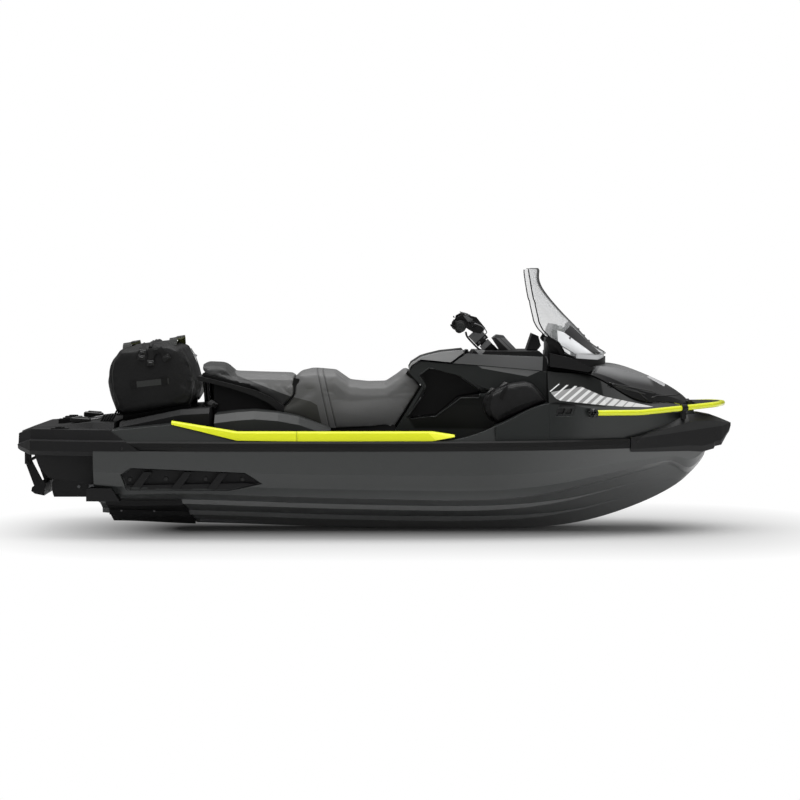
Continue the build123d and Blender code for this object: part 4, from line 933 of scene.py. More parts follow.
# %% Welts, straps and buckles of the cases
rim = [(0.560, 0.446), (0.610, 0.478), (0.658, 0.500), (0.752, 0.514), (0.786, 0.504), (0.849, 0.430)]
welt = tube(smooth_line(laid(case_skin, rim, 0.0005, 0.03), 3), 0.002, 8)
add_piece("case_welts", *mirrored(welt), "craft", webbing_grey, True)
case_straps = ((0.022, [(0.598, 0.474), (0.572, 0.440), (0.566, 0.395), (0.596, 0.330)]),
               (0.020, [(0.668, 0.503), (0.640, 0.470), (0.632, 0.440)]))
bands = [strap(case_skin, line, width, 0.003, 0.001) for width, line in case_straps]
add_piece("case_straps", *mirrored(join_lists(bands)), "craft", webbing_black)
BUCKLE_Y = -0.385
lugs = []
for x, z, turn in ((0.585, 0.474, 35), (0.650, 0.504, 28)):
    for step, (long, high) in enumerate(((0.046, 0.020), (0.034, 0.014), (0.020, 0.010))):
        lugs.append(slab((x, BUCKLE_Y + 0.006 * step, z + 0.007 * step), (long, 0.030, high), turn))
add_piece("case_buckles", *mirrored(join_lists(lugs)), "craft", buckle_plastic)
print("cases dressed")

# %% [markdown]
# The windshield is packed as bare sheet. Its ground edge shows as a thin dark line, so a rim follows the
# outermost points of the sheet on both sides and over the top. They are read off the sheet level by
# level, so the rim fits whatever sheet is packed.

# %% Windshield rim
RIM_LEVELS = 26
RIM_INSET = 0.006       # the rim starts and ends this far inside the sheet's height
glass = nodes["windshield"]
glass_skin = skin_of(glass)
glass_low, glass_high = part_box("windshield")
rim_height = glass_high.z - 2 * RIM_INSET - glass_low.z
edge_line = []
for k in range(RIM_LEVELS + 1):
    z = glass_low.z + RIM_INSET + rim_height * k / RIM_LEVELS
    band_points = [v.co for v in glass.data.vertices if abs(v.co.z - z) < 0.014]
    outer = min(p.y for p in band_points)
    rim_points = [p for p in band_points if p.y < outer + 0.004]
    edge_line.append(Vector((sum(p.x for p in rim_points) / len(rim_points), outer, z)))
top_points = [v.co for v in glass.data.vertices if v.co.z > glass_high.z - 0.002]
top_line = sorted({(round(p.y, 3), round(p.x, 3)) for p in top_points if p.y < 0.001})
print("rim points", len(edge_line), "top points", len(top_line))
screen_edge = finish("screen_edge", (0.003, 0.003, 0.0035), 0.5, 0.05, edge=0)
wear(screen_edge, 30, 0.4, 0.6)
side_rim = tube(smooth_line(edge_line, 2), 0.0030, 8)
top_rim = tube([(x, y, glass_high.z) for y, x in top_line[::4] + top_line[-1:]], 0.0015, 8)
add_piece("screen_rim", *join_lists([mirrored(side_rim), mirrored(top_rim)]), "front_lid", screen_edge, True)

# %% [markdown]
# Low down the sheet's edge sits in a rubber seal, which fills the gap to the black frame behind it.

# %% Rubber seals below the windshield
SEAL_TOP = 0.77
SEAL = ((0.004, 0.001, 0.0), (0.004, 0.010, 0.0), (-0.012, 0.010, -0.028), (-0.012, 0.001, -0.028))
seal = ring_loft([[p + Vector(step) for step in SEAL] for p in edge_line if p.z < SEAL_TOP])
add_piece("screen_seals", *mirrored(seal), "front_lid", rail_rubber)
print("seals up to", SEAL_TOP)

# %% [markdown]
# A foot closes the gap between the sheet and its frame; it is painted pale, a painted highlight. In plan it
# is an arc through the two sides and the nose of the sheet, so its radius follows from the width and the
# sagitta.

# %% Windshield foot
# Painted highlight and painted shade: a pale finish and a see-through grey one for the sheet's facets.
highlight_facet, shade_facet = [finish(name, colour, 0.25, 0.4, edge=0) for name, colour in
                           (("highlight_facet", (0.62, 0.63, 0.64)), ("shade_facet", (0.22, 0.23, 0.23)))]
drift(highlight_facet, (0.62, 0.63, 0.64), 0.05, 9.0)
drift(shade_facet, (0.22, 0.23, 0.23), 0.05, 9.0)
shader_of(shade_facet).inputs["Alpha"].default_value = 0.45
FOOT_HALF, FOOT_SIDE, FOOT_NOSE = 0.215, 1.030, 1.180      # plan of the sheet's lower edge
FOOT_LOW, FOOT_RISE, FOOT_TOP = 0.618, 0.018, 0.664        # its height, lowest at the nose
sagitta = FOOT_NOSE - FOOT_SIDE
bend = (FOOT_HALF ** 2 + sagitta ** 2) / (2 * sagitta)
rings = []
for k in range(33):
    y = -FOOT_HALF + 2 * FOOT_HALF * k / 32
    x = FOOT_NOSE - bend + math.sqrt(bend * bend - y * y)
    low = FOOT_LOW + FOOT_RISE * abs(y) / FOOT_HALF
    rear, fore = x - 0.007, x + 0.003
    rings.append([(rear, y, low), (fore, y, low), (fore, y, FOOT_TOP), (rear, y, FOOT_TOP)])
add_piece("screen_foot", *ring_loft(rings), "front_lid", highlight_facet)
print("foot radius", round(bend, 4))

# %% [markdown]
# Two painted facets lie on each side of the sheet: a pale one, a painted highlight where the sheet catches
# the light, and a see-through grey one behind it, painted shade. They are thin panels laid on the sheet, so
# they bend with it.

# %% Windshield facets
light = panel(glass_skin, [(0.926, 0.782), (0.930, 0.716), (1.020, 0.662), (1.136, 0.660), (0.976, 0.768)],
              0.0012, 0.001)
shade = panel(glass_skin, [(0.884, 0.752), (0.926, 0.716), (0.924, 0.784), (0.974, 0.770), (0.950, 0.806),
                           (0.905, 0.812)], 0.0012, 0.001)
add_piece("screen_highlights", *mirrored(light), "front_lid", highlight_facet)
add_piece("screen_shades", *mirrored(shade), "front_lid", shade_facet)
print("facet faces", len(light[1]), "and", len(shade[1]))

# %% [markdown]
# A screw is one turned head with a hex socket. Four hold the sheet down its middle, and one more holds
# each side; a ray finds where each sits on the sheet.

# %% Windshield screws
def screw(centre, out, radius, height=0.002):
    """A domed screw head with a hex socket, standing along out."""
    out = Vector(out).normalized()
    u = out.orthogonal().normalized()
    v = out.cross(u)
    profile = [(1.0, 0.0), (1.0, 0.45), (0.8, 0.9), (0.5, 1.0), (0.42, 1.0), (0.38, 0.3)]
    rings = [[Vector(centre) + (u * math.cos(a) + v * math.sin(a)) * radius * r + out * height * h
              for a in (math.tau * k / 12 for k in range(12))] for r, h in profile]
    return ring_loft(rings)


heads = []
for z in (0.785, 0.752, 0.724, 0.690):
    spot, normal, _, _ = glass_skin.ray_cast(Vector((1.5, 0.0, z)), Vector((-1, 0, 0)))
    heads.append(screw(spot, normal if normal.x > 0 else -normal, 0.006, 0.005))
side_spot = laid(glass_skin, [(0.992, 0.742), (0.992, 0.742)], 0.001)[0]
side_heads = mirrored(screw(side_spot, (0.3, -1, 0.3), 0.006, 0.004))
add_piece("screen_screws", *join_lists(heads + [side_heads]), "front_lid", screw_metal)
print("windshield dressed")

# %% [markdown]
# Where two cushions or mouldings meet, a dark web sits deep in the joint and stands in for the shade there,
# so no light shows through from the far side.

# %% Dark webs for the shade in the seat joints
def shade_web(line, half_width, thick):
    """A dark web across the craft, following a side-view line, standing in for shade."""
    rings = []
    for i, (x, z) in enumerate(line):
        (xa, za), (xb, zb) = line[max(i - 1, 0)], line[min(i + 1, len(line) - 1)]
        length = math.hypot(xb - xa, zb - za)
        nx, nz = -(zb - za) / length * thick / 2, (xb - xa) / length * thick / 2
        rings.append([(x - nx, -half_width, z - nz), (x + nx, -half_width, z + nz),
                      (x + nx, half_width, z + nz), (x - nx, half_width, z - nz)])
    return ring_loft(rings)


seat_to_console = [(0.100, 0.292), (0.172, 0.396), (0.226, 0.480), (0.200, 0.530), (0.160, 0.566)]
between_seats = [(-0.484, 0.372), (-0.440, 0.425), (-0.412, 0.500), (-0.404, 0.535)]
under_tail = [(-0.89, 0.545), (-0.80, 0.522), (-0.64, 0.480), (-0.55, 0.425), (-0.505, 0.392)]
# Dark webs that stand in for the shade in the joints.
shade_webs = [shade_web(seat_to_console, 0.135, 0.018), shade_web(between_seats, 0.190, 0.030),
           shade_web(under_tail, 0.190, 0.034)]
add_piece("seat_shade_webs", *join_lists(shade_webs), "craft", rail_rubber)
print("shade_webs", len(shade_webs))

# %% [markdown]
# The handlebar carries the small things a rider touches. Turned pieces go round a line between two
# points, and pieces of the steering column are placed along the steering axis, so they turn with it.

# %% Turned shapes and the steering axis
def turned(a, b, profile, sides=24):
    """A shape turned about the line from a towards b; the profile is (distance along, radius)."""
    a = Vector(a)
    along = (Vector(b) - a).normalized()
    u = along.orthogonal().normalized()
    v = along.cross(u)
    return ring_loft([[a + along * d + (u * math.cos(t) + v * math.sin(t)) * r
                       for t in (math.tau * k / sides for k in range(sides))] for d, r in profile])


AXIS_FOOT = Vector((0.590, 0.0, 0.680))
AXIS_UP = Vector((-0.682, 0.0, 0.731))
AXIS_BACK = Vector((-AXIS_UP.z, 0.0, AXIS_UP.x))      # square to the axis, towards the rider


def on_axis(up, back, y=0.0):
    """A point of the steering column: up the axis, back towards the rider, and out to a side."""
    return AXIS_FOOT + AXIS_UP * up + AXIS_BACK * back + Vector((0, y, 0))


def side_of(up, back):
    """A point of the steering column in side view."""
    point = on_axis(up, back)
    return (point.x, point.z)


print("axis helpers ready")

# %% [markdown]
# A grip is a rubber sleeve with raised rings, a flange at each end and a hard cap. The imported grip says
# where its middle line runs and how thick it is, and every ring is turned about that line.

# %% Rubber grips with their end caps
RIBS, RIB_FIRST, RIB_PITCH = 13, 0.10, 0.062      # places are shares of the grip's length
grip_points = [v.co for v in nodes["grips"].data.vertices if v.co.y < 0]
outer_y, inner_y = min(p.y for p in grip_points), max(p.y for p in grip_points)


def middle_at(y):
    ring = [p for p in grip_points if abs(p.y - y) < 0.004]
    return sum(ring, Vector()) / len(ring)


grip_end, grip_root = middle_at(outer_y), middle_at(inner_y)
grip_radius = max((p - grip_end).length for p in grip_points if p.y < outer_y + 0.002)
rib = [(0, grip_radius), (0.001, grip_radius + 0.0016), (0.003, grip_radius + 0.0016), (0.004, grip_radius)]
ribs = [turned(grip_end.lerp(grip_root, RIB_FIRST + RIB_PITCH * k), grip_root, rib) for k in range(RIBS)]
flange = [(0.0, grip_radius), (0.001, grip_radius + 0.008), (0.004, grip_radius + 0.009),
          (0.006, grip_radius)]
ribs.append(turned(grip_root, grip_end, flange))
ribs.append(turned(grip_end.lerp(grip_root, 0.03), grip_root, flange))
add_piece("grip_ribs", *mirrored(join_lists(ribs)), "handlebars", rail_rubber, True)
beyond_end = grip_end + (grip_end - grip_root).normalized() * 0.004
cap = turned(beyond_end, grip_root, [(0.003, 0.0015), (0.003, 0.006), (0.0, 0.008), (0.0, 0.0125),
                                     (0.002, 0.0135), (0.002, 0.016), (0.0, 0.0175), (0.001, 0.021),
                                     (0.006, 0.0225)])
add_piece("grip_end_caps", *mirrored(cap), "handlebars", slate)
print("grip radius", round(grip_radius, 4))

# %% [markdown]
# The switch pods carry a grey plate on each outer face, a painted highlight where that face catches the
# light, a lid and four buttons. The thumb throttle and the hooks that guard the levers are bent rods, so each
# is a tube along a smooth line.

# %% Switches, throttle and lever hooks
pod_low, pod_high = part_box("control_pods")
pod_skin = skin_of(nodes["control_pods"])
# Painted highlight: a grey plate on the pod's outer face, where it catches the light.
side_highlight = panel(pod_skin, [(0.446, 0.856), (0.468, 0.828), (0.494, 0.822), (0.493, 0.842), (0.474, 0.861)],
              lift=0.0015, bite=0.004, step=0.006)
pod_lid = slab((0.462, pod_low.y + 0.030, pod_high.z - 0.001), (0.046, 0.040, 0.005), -14, 0.0015)
add_piece("pod_lid_and_highlight", *mirrored(join_lists([side_highlight, pod_lid])), "handlebars", panel_grey)
buttons = []
for k in range(3):
    spot = Vector((pod_low.x - 0.001, pod_low.y + 0.018 + 0.016 * k, pod_high.z - 0.022))
    buttons.append(slab(spot, (0.006, 0.011, 0.010), 20, 0.001))
rocker = (pod_low.x + 0.002, pod_low.y + 0.034, pod_high.z - 0.042)
buttons.append(slab(rocker, (0.010, 0.036, 0.014), 20, 0.0015))
add_piece("pod_buttons", *mirrored(join_lists(buttons)), "handlebars", buckle_plastic)
thumb = tube(smooth_line([(0.440, -0.292, 0.806), (0.410, -0.300, 0.802), (0.390, -0.312, 0.806),
                          (0.384, -0.330, 0.812)], 5), 0.0065, 10, 0.7)
add_piece("thumb_throttle", *thumb, "handlebars", buckle_plastic, True)
hook = tube(smooth_line([(0.486, -0.270, 0.822), (0.522, -0.262, 0.812), (0.548, -0.250, 0.797),
                         (0.566, -0.238, 0.775), (0.560, -0.232, 0.763)], 5), 0.0028, 8)
add_piece("lever_hooks", *mirrored(hook), "handlebars", screw_metal, True)
print("switches on, pod top", round(pod_high.z, 3))

# %% [markdown]
# The steering column is grey with a black clamp at its top. Bolts sit on its flanks, and two looms run
# down behind it. All are placed along the steering axis, so they follow its rake.

# %% Steering column: clamp, bolts and looms
column_grey = finish("column_grey", PANEL_GREY, 0.38, 0.4, 0.35)
drift(column_grey, PANEL_GREY, 0.08, 6.0)
grain(column_grey, 1500, 0.1)
CLAMP_UP = 0.074        # the black clamp starts this far up the axis
clamp = depth_inside(column_grey, [side_of(CLAMP_UP, -0.05), side_of(CLAMP_UP, 0.05)], closed=False)
patch(column_grey, clamp, (0.006, 0.006, 0.006))
dress("steering_riser", column_grey)
bolts = [screw(on_axis(up, back, -0.038), (0, -1, 0), 0.0065, 0.003)
         for up, back in ((0.063, 0.016), (0.063, -0.020), (0.112, -0.004))]
add_piece("column_bolts", *mirrored(join_lists(bolts)), "handlebars", screw_metal)
looms = []
for y in (-0.016, 0.012):
    route = [on_axis(0.150, 0.030, y * 1.6), on_axis(0.128, 0.041, y * 1.3), on_axis(0.090, 0.043, y),
             on_axis(0.050, 0.042, y * 0.8), on_axis(0.020, 0.038, y * 0.6)]
    looms.append(tube(smooth_line(route, 5), 0.0048, 10))
add_piece("column_looms", *join_lists(looms), "handlebars", rail_rubber, True)
print("column bolts", 2 * len(bolts), "looms", len(looms))

# %% [markdown]
# The cowl below the column is black with a grey top and a grey strip down its front, which has two fine
# creases along it. Strip and creases are set off from one slanted line.

# %% Steering cowl
cowl_finish = plastic("cowl_plastic", (0.009, 0.009, 0.0092), 0.38, 0.3, 1000, 0.15)
cowl_front = [(0.645, 0.752), (0.727, 0.672)]
front_band = maths(cowl_finish, "ABSOLUTE", depth_inside(cowl_finish, cowl_front, closed=False))
strip = maths(cowl_finish, "SUBTRACT", 0.026, front_band)
crease = maths(cowl_finish, "ABSOLUTE", maths(cowl_finish, "SUBTRACT", front_band, 0.012))
patch(cowl_finish, strip, (0.14, 0.141, 0.143))
patch(cowl_finish, maths(cowl_finish, "SUBTRACT", 0.0012, crease), (0.006, 0.006, 0.006))
top_of_cowl = depth_inside(cowl_finish, [(0.58, 0.738), (0.70, 0.742)], closed=False)
patch(cowl_finish, top_of_cowl, (0.06, 0.061, 0.062))
dress("steering_cowl", cowl_finish)

# %% [markdown]
# Several mouldings change colour or depth partway. A face that looks to the side is told from one that
# looks up by its normal, which stays true on a lid that opens, because the lid turns about the
# crosswise axis.

# %% Glove box lid and console cap
def sideways(mat, least=0.4):
    """Mask of the faces that look to port or starboard."""
    facing_to = node(mat, "ShaderNodeSeparateXYZ")
    link(mat, node(mat, "ShaderNodeTexCoord").outputs["Normal"], facing_to.inputs[0])
    return crisp(mat, maths(mat, "SUBTRACT", maths(mat, "ABSOLUTE", facing_to.outputs["Y"]), least), 0.1)


lid_finish = plastic("glovebox_plastic", BLACK, 0.36, 0.24, 1200, 0.15)
lid_sides = sideways(lid_finish)
paint(lid_finish, lid_sides, (0.33, 0.332, 0.335))
paint(lid_finish, lid_sides, 0.5, "Metallic")
dress("glovebox_lid", lid_finish)
COLLAR_LOW, COLLAR_HIGH, COLLAR_HALF = 0.018, 0.060, 0.060      # along and across the steering axis
cap_finish = plastic("console_cap_plastic", BLACK, 0.36, 0.24, 1200, 0.15)
collar = depth_inside(cap_finish, [side_of(COLLAR_LOW, COLLAR_HALF), side_of(COLLAR_LOW, -COLLAR_HALF),
                                   side_of(COLLAR_HIGH, -COLLAR_HALF), side_of(COLLAR_HIGH, COLLAR_HALF)])
patch(cap_finish, collar, (0.16, 0.161, 0.163))
dress("console_cap", cap_finish)

# %% [markdown]
# Each side of the console has a deep knee recess with a lip, painted dark as painted shade. Its outline
# isn't convex, so the painted shade is the union of three convex parts that overlap a little. Below lies a
# lobe in painted shade, and along the top a ledge painted paler as a painted highlight.

# %% Console side with its knee recess
LIP = [(0.274, 0.589), (0.222, 0.550), (0.254, 0.498), (0.248, 0.459), (0.163, 0.338), (0.306, 0.341),
       (0.437, 0.436), (0.528, 0.439), (0.533, 0.472), (0.423, 0.550)]
LOBE_FLOOR = 0.28
console_finish = flake_finish("console_gelcoat", CHARCOAL, 0.34, 0.15, 0.004)
lobe_shade = union(console_finish, [
    [(0.30, LOBE_FLOOR), (0.60, LOBE_FLOOR), (0.60, 0.445), (0.437, 0.448), (0.30, 0.34)],
    [(0.163, 0.338), (0.20, LOBE_FLOOR), (0.31, LOBE_FLOOR), (0.31, 0.341)]])
# Painted shade on the lower lobe.
patch(console_finish, lobe_shade, (0.0045, 0.005, 0.0042), 0.012, [("Specular IOR Level", 0.2)])
recess_shade = union(console_finish, [[LIP[0], LIP[1], LIP[2], LIP[6], LIP[9]], [LIP[6], LIP[7], LIP[8], LIP[9]],
                                [LIP[2], LIP[4], LIP[5], LIP[6]]])
# Painted shade in the knee recess.
patch(console_finish, maths(console_finish, "ADD", recess_shade, 0.001), (0.0025, 0.0025, 0.0026),
      others=[("Roughness", 0.7), ("Specular IOR Level", 0.15)])
# Painted highlight on the ledge along the top.
ledge_highlight = [(0.52, 0.602), (0.543, 0.588), (0.774, 0.548), (0.846, 0.580), (0.846, 0.60)]
patch(console_finish, depth_inside(console_finish, ledge_highlight), (0.15, 0.153, 0.153))
dress("console", console_finish)
console_skin = skin_of(nodes["console"])
lip = tube(smooth_line(laid(console_skin, LIP + LIP[:1], 0.0, 0.03), 3), 0.0035, 8)
add_piece("recess_lips", *mirrored(lip), "craft", gelcoat, True)
print("lip points", len(LIP))

# %% [markdown]
# The hood is glossy black with a painted highlight on its crown and a pale blade near its tip. The painted
# highlight fades in from the edge of its outline, because the real surface turns up to the light there
# without a break.

# %% Hood finish
hood_finish = plastic("hood_gloss", (0.0038, 0.0038, 0.0041), 0.16, 0.5, 2000, 0.02, edge=0.004)
crown_highlight = [(1.105, 0.585), (1.118, 0.560), (1.250, 0.520), (1.395, 0.492), (1.432, 0.486), (1.440, 0.62),
         (1.105, 0.64)]
# Painted highlight: the crown is painted lighter, fading in from its outline's edge.
fade = node(hood_finish, "ShaderNodeMapRange", interpolation_type="SMOOTHSTEP")
fade.inputs["From Min"].default_value = -0.001
fade.inputs["From Max"].default_value = 0.045
fade.inputs["To Max"].default_value = 0.9
link(hood_finish, depth_inside(hood_finish, crown_highlight), fade.inputs["Value"])
paint(hood_finish, fade.outputs["Result"], (0.135, 0.136, 0.138))
blade = [(1.395, 0.541), (1.457, 0.506), (1.485, 0.492), (1.499, 0.504), (1.430, 0.545)]
patch(hood_finish, depth_inside(hood_finish, blade), (0.42, 0.42, 0.43))
dress("hood", hood_finish)

# %% [markdown]
# Moulded ridges along the hood's sides catch the light. Each is a low round bead laid on the surface and
# sunk a little into it.

# %% Hood ridges
hood_skin = skin_of(nodes["hood"])
ridges = [[(1.118, 0.509), (1.199, 0.513), (1.336, 0.471), (1.391, 0.424)],
          [(1.166, 0.522), (1.228, 0.508), (1.406, 0.471), (1.434, 0.460)],
          [(1.212, 0.500), (1.302, 0.475), (1.380, 0.455)],
          [(1.409, 0.435), (1.437, 0.445), (1.567, 0.447)]]
beads = [tube(smooth_line(laid(hood_skin, ridge, -0.001, 0.03), 3), 0.0042, 10, 0.7) for ridge in ridges]
bead_gloss = plastic("bead_gloss", (0.02, 0.02, 0.021), 0.18, 0.5, 2000, 0.02, edge=0)
add_piece("hood_ridges", *mirrored(join_lists(beads)), "front_lid", bead_gloss, True)
print("hood ridges", 2 * len(ridges))

# %% [markdown]
# The hood closes on a rubber strip that runs along each side of the bin. A ray finds the deck's rim at each
# step, and the strip's section stands on it.

# %% Bin seals
SEAL_START, SEAL_STEP = 1.04, 0.02
SEAL_OUT, SEAL_IN = -0.226, -0.206      # both faces of the strip
deck_skin = skin_of(nodes["front_deck"])
rings = []
for k in range(18):
    x = SEAL_START + SEAL_STEP * k
    rim_z = deck_skin.ray_cast(Vector((x, -0.215, 0.9)), Vector((0, 0, -1)))[0].z
    low, high = rim_z - 0.003, rim_z + 0.020
    rings.append([(x, SEAL_OUT, low), (x, SEAL_IN, low), (x, SEAL_IN, high), (x, SEAL_OUT, high)])
add_piece("bin_seals", *mirrored(ring_loft(rings)), "craft", rail_rubber)
print("bin seal from", round(rings[0][0][2], 3), "to", round(rings[-1][0][2], 3))

# %% [markdown]
# The windshield's bracket stands behind the sheet as a black blade; the sheet in front of it carries a
# black printed strip, which hides the bracket's feet.

# %% Printed strip on the windshield
strip_black = finish("screen_strip", (0.006, 0.006, 0.0065), 0.3, 0.4, edge=0)
drift(strip_black, (0.006, 0.006, 0.0065), 0.1, 8.0)
printed = panel(glass_skin, [(0.962, 0.772), (1.142, 0.642), (1.160, 0.658), (1.002, 0.806)],
                lift=0.0022, bite=0.001, step=0.008)
add_piece("screen_strips", *mirrored(printed), "front_lid", strip_black)
print("windshield strip on")

# %% [markdown]
# The yellow-green trim is made of two lengths that meet at a fine seam, and its forward tip is painted
# lighter, a painted highlight where its facet catches more light. The bow bumper has a lighter flank above a
# moulded crease.

# %% Trim seam and bumper flank
sew(lime_trim, [((-0.392, 0.32), (-0.385, 0.20))], 0.0009, (0.10, 0.11, 0.004))
# Painted highlight on the trim's forward tip.
tip_highlight = depth_inside(lime_trim, [(0.263, 0.282), (0.308, 0.237), (0.352, 0.239), (0.393, 0.269)])
patch(lime_trim, tip_highlight, (0.70, 0.72, 0.03))
bumper_finish = plastic("bumper_plastic", (0.0075, 0.0075, 0.0078), 0.45, 0.2, 700, 0.3)
flank = [(1.34, 0.241), (1.798, 0.290), (1.84, 0.31), (1.665, 0.375), (1.495, 0.335)]
patch(bumper_finish, depth_inside(bumper_finish, flank), (0.019, 0.0192, 0.0195))
dress("bow_bumper", bumper_finish)

# %% [markdown]
# Last come the fastenings and the fittings of the stern. The screws along the hull are set on the real
# surface where they are drawn in side view: plastic plugs on the sponsons and the rail, plated steel on
# the ride plate.

# %% Screws along the hull
def heads_on(name, tree, spots, radius, mat):
    """Screw heads on both sides of the craft, at spots given in side view."""
    parts = []
    for spot in spots:
        at = laid(tree, [spot, spot], 0.0)[0]
        parts.append(screw(at + Vector((0, 0.001, 0)), (0, -1, 0), radius, 0.004))
    add_piece(name, *mirrored(join_lists(parts)), "craft", mat)
    print(name, 2 * len(spots))


hull_side = skin_of(nodes["hull"], nodes["sponsons"], nodes["ride_plate"])
heads_on("sponson_screws", hull_side, [(-1.220, 0.048), (-1.040, 0.050), (-0.843, 0.050), (-0.660, 0.048)],
         0.012, buckle_plastic)
heads_on("ride_plate_screws", hull_side, [(-1.303, -0.142), (-1.135, -0.144)], 0.006, screw_metal)
rail_side = skin_of(nodes["rub_rails"], nodes["bow_bumper"], nodes["swim_platform"])
heads_on("rail_screws", rail_side, [(-1.253, 0.205), (1.325, 0.225)], 0.007, buckle_plastic)

# %% [markdown]
# Three short slate strips lie along the side of each sponson. Each is a flat strap laid on the surface.

# %% Sponson fin strips
strip_spans = ((-1.224, -1.130, 0.006), (-1.091, -0.999, -0.001), (-0.907, -0.819, -0.001))
strips = [strap(hull_side, [(rear, z), (fore, z)], 0.009, 0.002) for rear, fore, z in strip_spans]
add_piece("fin_strips", *mirrored(join_lists(strips)), "craft", slate)
print("fin strips", len(strips))

# %% [markdown]
# The swim platform carries two bare plates, two ribbed latches, and the locks of the accessory mounts.
# All are small moulded blocks, dropped onto whatever deck lies below them.

# %% Platform fittings
deck_top = skin_of(nodes["swim_platform"], nodes["stern_deck"], nodes["rear_hatch"])
platform_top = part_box("swim_platform")[1].z


def dropped(x, y):
    """The deck surface straight below a point."""
    hit = deck_top.ray_cast(Vector((x, y, 1.2)), Vector((0, 0, -1)))[0]
    return hit.z if hit else platform_top


PLATE_X = -1.448
LATCH_X, LATCH_PITCH, LATCH_RIBS = -1.384, 0.013, 5
plates = [slab((PLATE_X, y, dropped(PLATE_X, y) + 0.003), (0.060, 0.090, 0.006), 8, 0.0015)
          for y in (-0.125, 0.125)]
plate_grey = plastic("plate_grey", (0.16, 0.16, 0.16), 0.4, 0.3)
add_piece("platform_plates", *join_lists(plates), "craft", plate_grey)
latches = []
for x in (LATCH_X + LATCH_PITCH * k for k in range(LATCH_RIBS)):
    for y in (-0.300, 0.300):
        latches.append(slab((x, y, dropped(x, y) + 0.014), (0.006, 0.060, 0.044), -28, 0.001))
add_piece("platform_latches", *join_lists(latches), "craft", buckle_plastic)
knobs = []
for x, y, long in ((-1.585, 0.4375, 0.070), (-1.587, 0.125, 0.074), (-1.500, 0.27, 0.100)):
    for side in (-y, y):
        z = dropped(x, side)
        knobs.append(slab((x, side, z + 0.010), (long, 0.050, 0.026), -4, 0.003))
        knobs.append(slab((x + 0.006, side, z + 0.024), (long * 0.7, 0.034, 0.010), -4, 0.002))
add_piece("platform_knobs", *join_lists(knobs), "craft", buckle_plastic)
print("platform fittings", len(plates) + len(latches) + len(knobs))

# %% [markdown]
# Webbing buckles hold the bag's straps on its two rails, a pair of brackets fills the space below the
# seat's tail, and a rounded cap closes each rear end of the bow rail.

# %% Buckles, brackets and caps
RAIL_Z, RAIL_RAKE = 0.402, 0.02     # height of the bag rails at the bag's middle, and their rise ahead
buckles = []
for x in (-1.255, -0.985):
    for y in (-0.235, 0.235):
        z = RAIL_Z + RAIL_RAKE * (x + 1.12)
        buckles.append(slab((x, y, z), (0.070, 0.030, 0.016), 5, 0.002))
        buckles.append(slab((x, y, z + 0.006), (0.034, 0.034, 0.010), 5, 0.001))
add_piece("bag_rail_buckles", *join_lists(buckles), "craft", buckle_plastic)
foot = slab((-0.852, -0.17, 0.392), (0.090, 0.060, 0.060), 12, 0.018)
post = slab((-0.866, -0.17, 0.470), (0.030, 0.040, 0.130), 4, 0.008)
add_piece("seat_base_brackets", *mirrored(join_lists([foot, post])), "craft", buckle_plastic)
rail_cap = slab((1.094, -0.4525, 0.372), (0.052, 0.056, 0.044), 0, 0.012)
add_piece("rail_end_caps", *mirrored(rail_cap), "craft", buckle_plastic)
print("bag rail buckles", len(buckles))

# %% [markdown]
# The craft stands on a white studio floor. Only the camera sees the floor lifted to pure white far from
# the craft; under and near it the floor keeps its own light, and with it the soft shadow. How far a point
# lies from the craft's middle line says how much it is lifted.

# %% Floor
floor_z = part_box("hull")[0].z
bpy.ops.mesh.primitive_plane_add(size=60, location=(0, 0, floor_z - 0.001))
floor = bpy.context.object
floor.name = "studio_floor"
FLOOR_SEEN = 0.37       # how pale the camera sees the lit floor, before it lifts to white
SHADOW_NEAR, SHADOW_FAR = 0.10, 1.55      # half width of the full shadow and of its last trace
SHADOW_ENDS = 1.25      # past each end a step counts for this much more, so the shadow fades sooner
SHADOW_INSET = 0.45     # the ends' fade starts this far inside the craft's length
CRAFT_HALF = (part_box("bow_bumper")[1].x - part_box("hull")[0].x) / 2
CRAFT_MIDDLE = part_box("hull")[0].x + CRAFT_HALF
floor_mat = finish("pale_floor", (0.9, 0.9, 0.9), 0.9, 0.0, edge=0)
floor_shader = shader_of(floor_mat)
sight = node(floor_mat, "ShaderNodeLightPath").outputs["Is Camera Ray"]
paint(floor_mat, sight, (FLOOR_SEEN, FLOOR_SEEN, FLOOR_SEEN))
floor_point = node(floor_mat, "ShaderNodeSeparateXYZ")
link(floor_mat, place(floor_mat), floor_point.inputs[0])
along_craft, aside = floor_point.outputs["X"], floor_point.outputs["Y"]
from_middle = maths(floor_mat, "ABSOLUTE", maths(floor_mat, "SUBTRACT", along_craft, CRAFT_MIDDLE))
beyond = maths(floor_mat, "SUBTRACT", from_middle, CRAFT_HALF - SHADOW_INSET)
beyond = maths(floor_mat, "MAXIMUM", maths(floor_mat, "MULTIPLY", beyond, SHADOW_ENDS), 0.0)
squares = [maths(floor_mat, "MULTIPLY", run, run) for run in (beyond, aside)]
outward = maths(floor_mat, "SQRT", maths(floor_mat, "ADD", *squares))
far = node(floor_mat, "ShaderNodeMapRange")
far.inputs["From Min"].default_value = SHADOW_NEAR
far.inputs["From Max"].default_value = SHADOW_FAR
link(floor_mat, outward, far.inputs["Value"])
floor_shader.inputs["Emission Color"].default_value = (1, 1, 1, 1)
lifted = maths(floor_mat, "MULTIPLY", far.outputs["Result"], sight)
link(floor_mat, lifted, floor_shader.inputs["Emission Strength"])
paint(floor_mat, lifted, (0, 0, 0))
floor.data.materials.append(floor_mat)
print("floor at", round(floor_z, 3))

# %% [markdown]
# The world is a studio with a bright ceiling and dim walls, so flat tops are light and sides are dark. The
# camera, and rays that pass through clear sheet, see it as plain white.

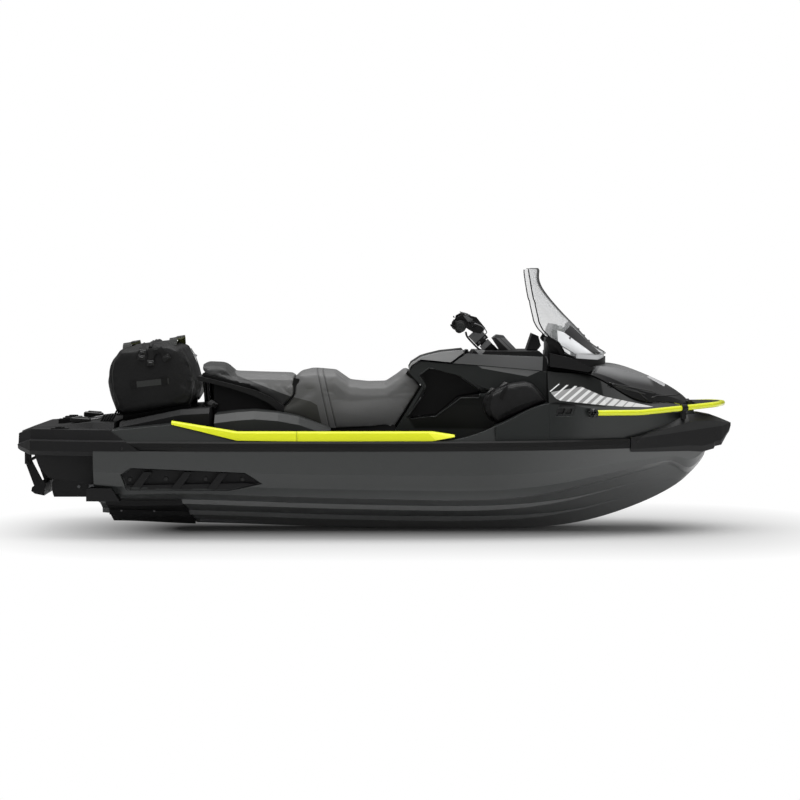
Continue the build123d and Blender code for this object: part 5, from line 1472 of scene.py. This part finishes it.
# %% World
SKY_LOW, SKY_TOP = 0.06, 0.85      # the studio is dim at eye level and bright above
world = bpy.data.worlds.new("studio")
bpy.context.scene.world = world
world.use_nodes = True
background = world.node_tree.nodes["Background"]
background.inputs["Color"].default_value = (1, 1, 1, 1)
rays = node(world, "ShaderNodeLightPath")
seen = maths(world, "MAXIMUM", rays.outputs["Is Camera Ray"], rays.outputs["Is Transmission Ray"])
height = node(world, "ShaderNodeSeparateXYZ")
link(world, node(world, "ShaderNodeTexCoord").outputs["Generated"], height.inputs[0])
sky = node(world, "ShaderNodeMapRange", interpolation_type="SMOOTHSTEP")
for name, value in (("From Min", 0.05), ("From Max", 0.85), ("To Min", SKY_LOW), ("To Max", SKY_TOP)):
    sky.inputs[name].default_value = value
link(world, height.outputs["Z"], sky.inputs["Value"])
link(world, maths(world, "MAXIMUM", seen, sky.outputs["Result"]), background.inputs["Strength"])
print("world set")

# %% [markdown]
# One broad soft box hangs overhead, which gives the flat tops their light and the sides their fall-off,
# and weaker ones stand low on the camera's side and off the bow. The low ones leave no reflection.

# %% Lamps
def soft_box(name, place_at, aim, size, watts, mirrors=True):
    """A rectangular lamp; glossy surfaces show its reflection only if mirrors is true."""
    lamp = bpy.data.lights.new(name, "AREA")
    lamp.shape = "RECTANGLE"
    lamp.size, lamp.size_y = size
    lamp.energy = watts
    obj = bpy.data.objects.new(name, lamp)
    bpy.context.scene.collection.objects.link(obj)
    obj.location = place_at
    obj.rotation_mode = "QUATERNION"
    obj.rotation_quaternion = (Vector(aim) - Vector(place_at)).to_track_quat("-Z", "Y")
    obj.visible_glossy = mirrors


soft_box("overhead", (0.0, -0.3, 5.0), (0, 0, 0), (6, 3), 330)
soft_box("side_fill", (-0.5, -7.0, 0.8), (0, 0, 0.1), (6, 1.6), 48, False)
soft_box("bow_fill", (5.5, -5.0, 1.0), (1.2, -0.3, 0.0), (2.0, 1.5), 60, False)
print("lamps set")

# %% [markdown]
# The camera stands square to the starboard side, a little above the craft, with a long lens that keeps the
# side view nearly flat.

# %% Camera
CAMERA_AT = Vector((0.12468, -12.985, 1.0394))
CAMERA_AIM = Vector((CAMERA_AT.x, 0.0, 0.4156))
camera = bpy.data.cameras.new("camera")
camera.sensor_width = 36
camera.lens = 112.6
camera_obj = bpy.data.objects.new("camera", camera)
bpy.context.scene.collection.objects.link(camera_obj)
camera_obj.location = CAMERA_AT
camera_obj.rotation_mode = "QUATERNION"
camera_obj.rotation_quaternion = (CAMERA_AIM - CAMERA_AT).to_track_quat("-Z", "Y")
bpy.context.scene.camera = camera_obj
bpy.context.scene.view_settings.view_transform = "Standard"
print("camera at", tuple(camera_obj.location))
